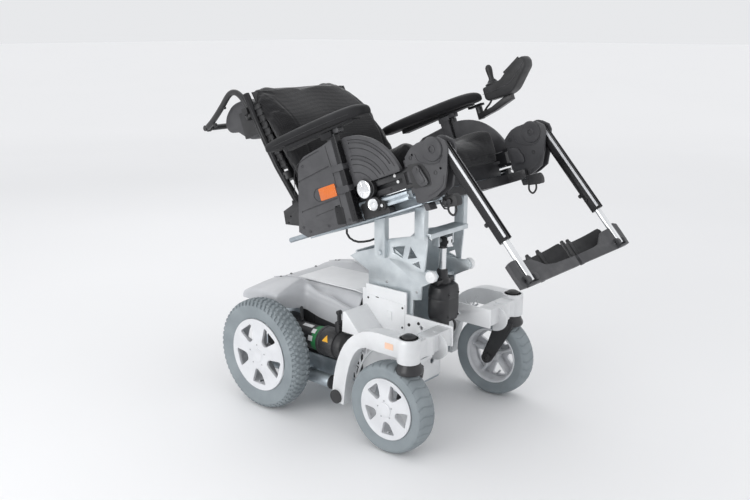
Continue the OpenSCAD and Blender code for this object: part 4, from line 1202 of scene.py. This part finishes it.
def joystick():
    """Housing with its display, bezel and seams, the stick's boot and knob, and the lead."""
    def part(label, bm, body="joystick_mount", material="black_plastic", **more):
        piece(f"joystick_{label}", bm, SEAT, body, material, **more)

    refined("joystick_arm", "black_metal", bevel=1.6, segments=3)
    shell = new()
    outline = rounded([(232, 370), (240, 361), (318, 357), (344, 366), (368, 388), (404, 420), (407, 440),
                       (398, 453), (386, 451), (326, 424), (306, 411), (286, 408), (232, 405)],
                      [8, 8, 16, 16, 18, 12, 8, 6, 4, 10, 14, 10, 6], 5)
    pillow(shell, outline, (310, 394), ((272, 0.88), (272.6, 0.93), (275, 0.97), (280, 0.99), (296, 1.0),
                                        (312, 0.99), (317, 0.97), (319.4, 0.93), (320, 0.88)))
    part("shell", shell, replaces="joystick_box", angle=50)
    bm = new()
    # raised display with its frame, along the upturned end
    glass = new()
    outline = rounded([(332, 431.5), (382, 452), (384, 449), (336, 428)], 1, 2)
    slab(glass, outline, 276, 316)
    part("display", glass, material="display_glass", bevel=0.8, slot="black_plastic")
    for y0, y1 in ((272.5, 275.5), (316.5, 319.5)):
        slab(bm, rounded([(322, 427), (386, 455), (388, 449), (326, 421)], 1.5, 3), y0, y1)
    slab(bm, rounded([(322, 428), (330, 431), (333, 425), (325, 421)], 1.5, 3), 273, 319)
    for y in (282, 296, 310):
        turned(bm, [(0, 4), (2.2, 4), (3, 2.6)], (318, y, 415.5), (-0.5, 0, 0.86), 18)
    turned(bm, [(0, 24), (3.5, 23), (5, 20), (5.4, 18.4), (-1, 18)], (262, 296, 408), Z, 40)
    part("bezel", bm)
    seam = new()
    for y in (320.3, 271.7):
        groove(seam, [(232, 386), (300, 386), (340, 392), (372, 412), (400, 436)], y, 0.9, 5)
    part("seam", seam, material="panel_charcoal", slot="black_plastic")
    boot = turned(new(), [(8, 20), (10, 20.4), (12, 18), (13, 15.5), (16, 15), (17, 12.4), (20, 12),
                          (21, 9.4), (24, 8.4), (30, 8.2), (40, 9.4), (52, 10.6), (60, 10.2), (66, 7.2),
                          (68.4, 3.2), (69, 0)], (262, 296, 402), Z, 32)
    part("knob", boot, "stick", replaces="joystick_stick", angle=50)
    cable = swept(new(), flowing([(248, 290, 374), (246, 290, 364), (238, 288, 354), (222, 290, 346),
                                  (204, 293, 335)], 6), 3.2, 10)
    part("cable", cable, material="cable_black")


def rail_connectors(name, add):
    """Sockets with a short cable loop under the front end of each rail."""
    bm = slab(new(), rounded([(346, 72), (390, 66), (394, 84), (388, 100), (350, 100)], [5, 6, 8, 8, 3], 4),
              200, 224)
    for u in (356, 370):
        turned(bm, [(0, 8), (5, 8), (6.5, 6.5)], (u, 224, 84), Y, 24)
    swept(bm, flowing([(372, 206, 76), (368, 204, 56), (354, 203, 46), (344, 204, 58), (348, 206, 78)], 8), 3,
          10)
    add("rail_connector", bm, SEAT, "seat", "black_plastic", bevel=1.0, segments=2)


REFINED = {
    "base_frame": ("zinc_frame", 1.2), "battery_box": ("battery_plastic", 4),
    "lift_housing": ("white_cover", 1.4), "lift_column": ("zinc_frame", 1.2),
    "front_cover_right": ("white_cover", 3), "front_cover_left": ("white_cover", 3),
    "lift_plates": ("zinc_plate", 0.9), "lift_crossbeam": ("zinc_plate", 1.2),
    "tilt_frame": ("zinc_plate", 0.9), "actuator_rod": ("chrome", 0.5),
    "side_rail_right": ("black_metal", 1.8), "side_rail_left": ("black_metal", 1.8),
    "side_guards": ("panel_charcoal", 2.4), "back_frame": ("tube_black", 1.0),
    "end_caps": ("black_plastic", 1.2), "clutch_lever_right": ("black_plastic", 1.4),
    "clutch_lever_left": ("black_plastic", 1.4), "joystick_gimbal": ("black_metal", 0.5),
    "joystick_button": ("button_grey", 0.8), "wiring": ("cable_black", 0.4),
}


def refine_rest():
    for node, (material, bevel) in REFINED.items():
        refined(node, material, bevel=bevel, segments=4 if bevel > 3 else 2)
    for name in SIDES:
        refined(f"armrest_{name}", "panel_charcoal", bevel=3, segments=2, second="pad_charcoal",
                where=lambda p: p.z > 343)
    refined("seat_frame", "zinc_frame", bevel=1.6, second="black_metal",
            where=lambda p: (p.x > 225 and abs(p.y) < 205) or (p.y > 150 and p.x > 0))


# ---------------------------------------------------------------- stage

CAMERA_PLACE = (1919.6, -1991.4, 1183.3)   # millimetres, BASE
CAMERA_YAW, CAMERA_PITCH = 130.688, -14.753
CAMERA_LENS = 40.68
LIGHTS_MEET = Vector((0, 0, 0.5))
LIGHTS = (("key", (-0.4, -3.6, 1.5), 2.4, 48), ("fill", (3.2, 1.0, 1.8), 2.5, 6),
          ("rim", (-2.4, 1.2, 2.6), 2.2, 10), ("top", (0.0, 0.0, 3.6), 3.0, 10))   # place, size, watts
SKY_COLOUR, SKY_STRENGTH = (0.97, 0.98, 1.0, 1), 0.83
FLOOR_REACH = 60.0       # metres from the middle to each edge


def aimed(name, data, place, look):
    obj = linked(name, data)
    obj.location = place
    obj.rotation_euler = look.to_track_quat("-Z", "Y").to_euler()
    return obj


def make_stage():
    yaw, pitch = math.radians(CAMERA_YAW), math.radians(CAMERA_PITCH)
    look = Vector((math.cos(pitch) * math.cos(yaw), math.cos(pitch) * math.sin(yaw), math.sin(pitch)))
    data = bpy.data.cameras.new("camera")
    assign(data, lens=CAMERA_LENS, sensor_width=36, clip_end=200)
    camera = aimed("camera", data, BASE @ Vector(CAMERA_PLACE), look)
    bpy.context.scene.camera = camera

    p = Paint("floor_pale", 0.7)
    p.colour(p.mix(p.step(p.noise(0.6, 2.0), 0.35, 0.65), (0.885, 0.885, 0.89), (0.90, 0.90, 0.905)))
    # far from the object the floor melts into the backdrop
    away = p.node("VectorMath", {"operation": "LENGTH"}, i0=p.place).outputs["Value"]
    p.links.new(p.step(away, 1.5, 8.0, 0.0, 0.11), p.shader.inputs["Emission Strength"])
    p.shader.inputs["Emission Color"].default_value = (1.0, 1.0, 1.0, 1.0)
    bm = new()
    bm.faces.new([bm.verts.new((x * FLOOR_REACH, y * FLOOR_REACH, 0))
                  for x, y in ((-1, -1), (1, -1), (1, 1), (-1, 1))])
    floor = solid("floor", bm)
    floor.data.materials.append(materials["floor_pale"])

    world = bpy.data.worlds.new("studio")
    world.use_nodes = True
    back = world.node_tree.nodes["Background"]
    back.inputs["Color"].default_value = SKY_COLOUR
    back.inputs["Strength"].default_value = SKY_STRENGTH
    bpy.context.scene.world = world
    for name, place, size, power in LIGHTS:
        data = bpy.data.lights.new(name, "AREA")
        assign(data, size=size, energy=power)
        aimed(name, data, place, LIGHTS_MEET - Vector(place))
    bpy.context.scene.view_settings.view_transform = "Standard"


# ---------------------------------------------------------------- carried-over nodes


def dress_nodes():
    """Every CAD node that still shows gets the material of its slot."""
    slots = {s["node"]: s["material_slot"] for s in frame["record"]["subparts"]}
    for name, obj in frame["nodes"].items():
        obj.data.materials.clear()
        obj.data.materials.append(materials[slots[name]])
        if not obj.hide_render:
            smooth(obj)


make_materials()
both(wheels)
shroud()
both(motors)
both(caster_arms)
both(caster_forks)
both(lift_parts)
actuator()
cushions()
both(arm_pads)
both(side_trim)
both(legs)
backrest()
push_bar()
joystick()
both(rail_connectors)
refine_rest()
dress_nodes()
make_stage()
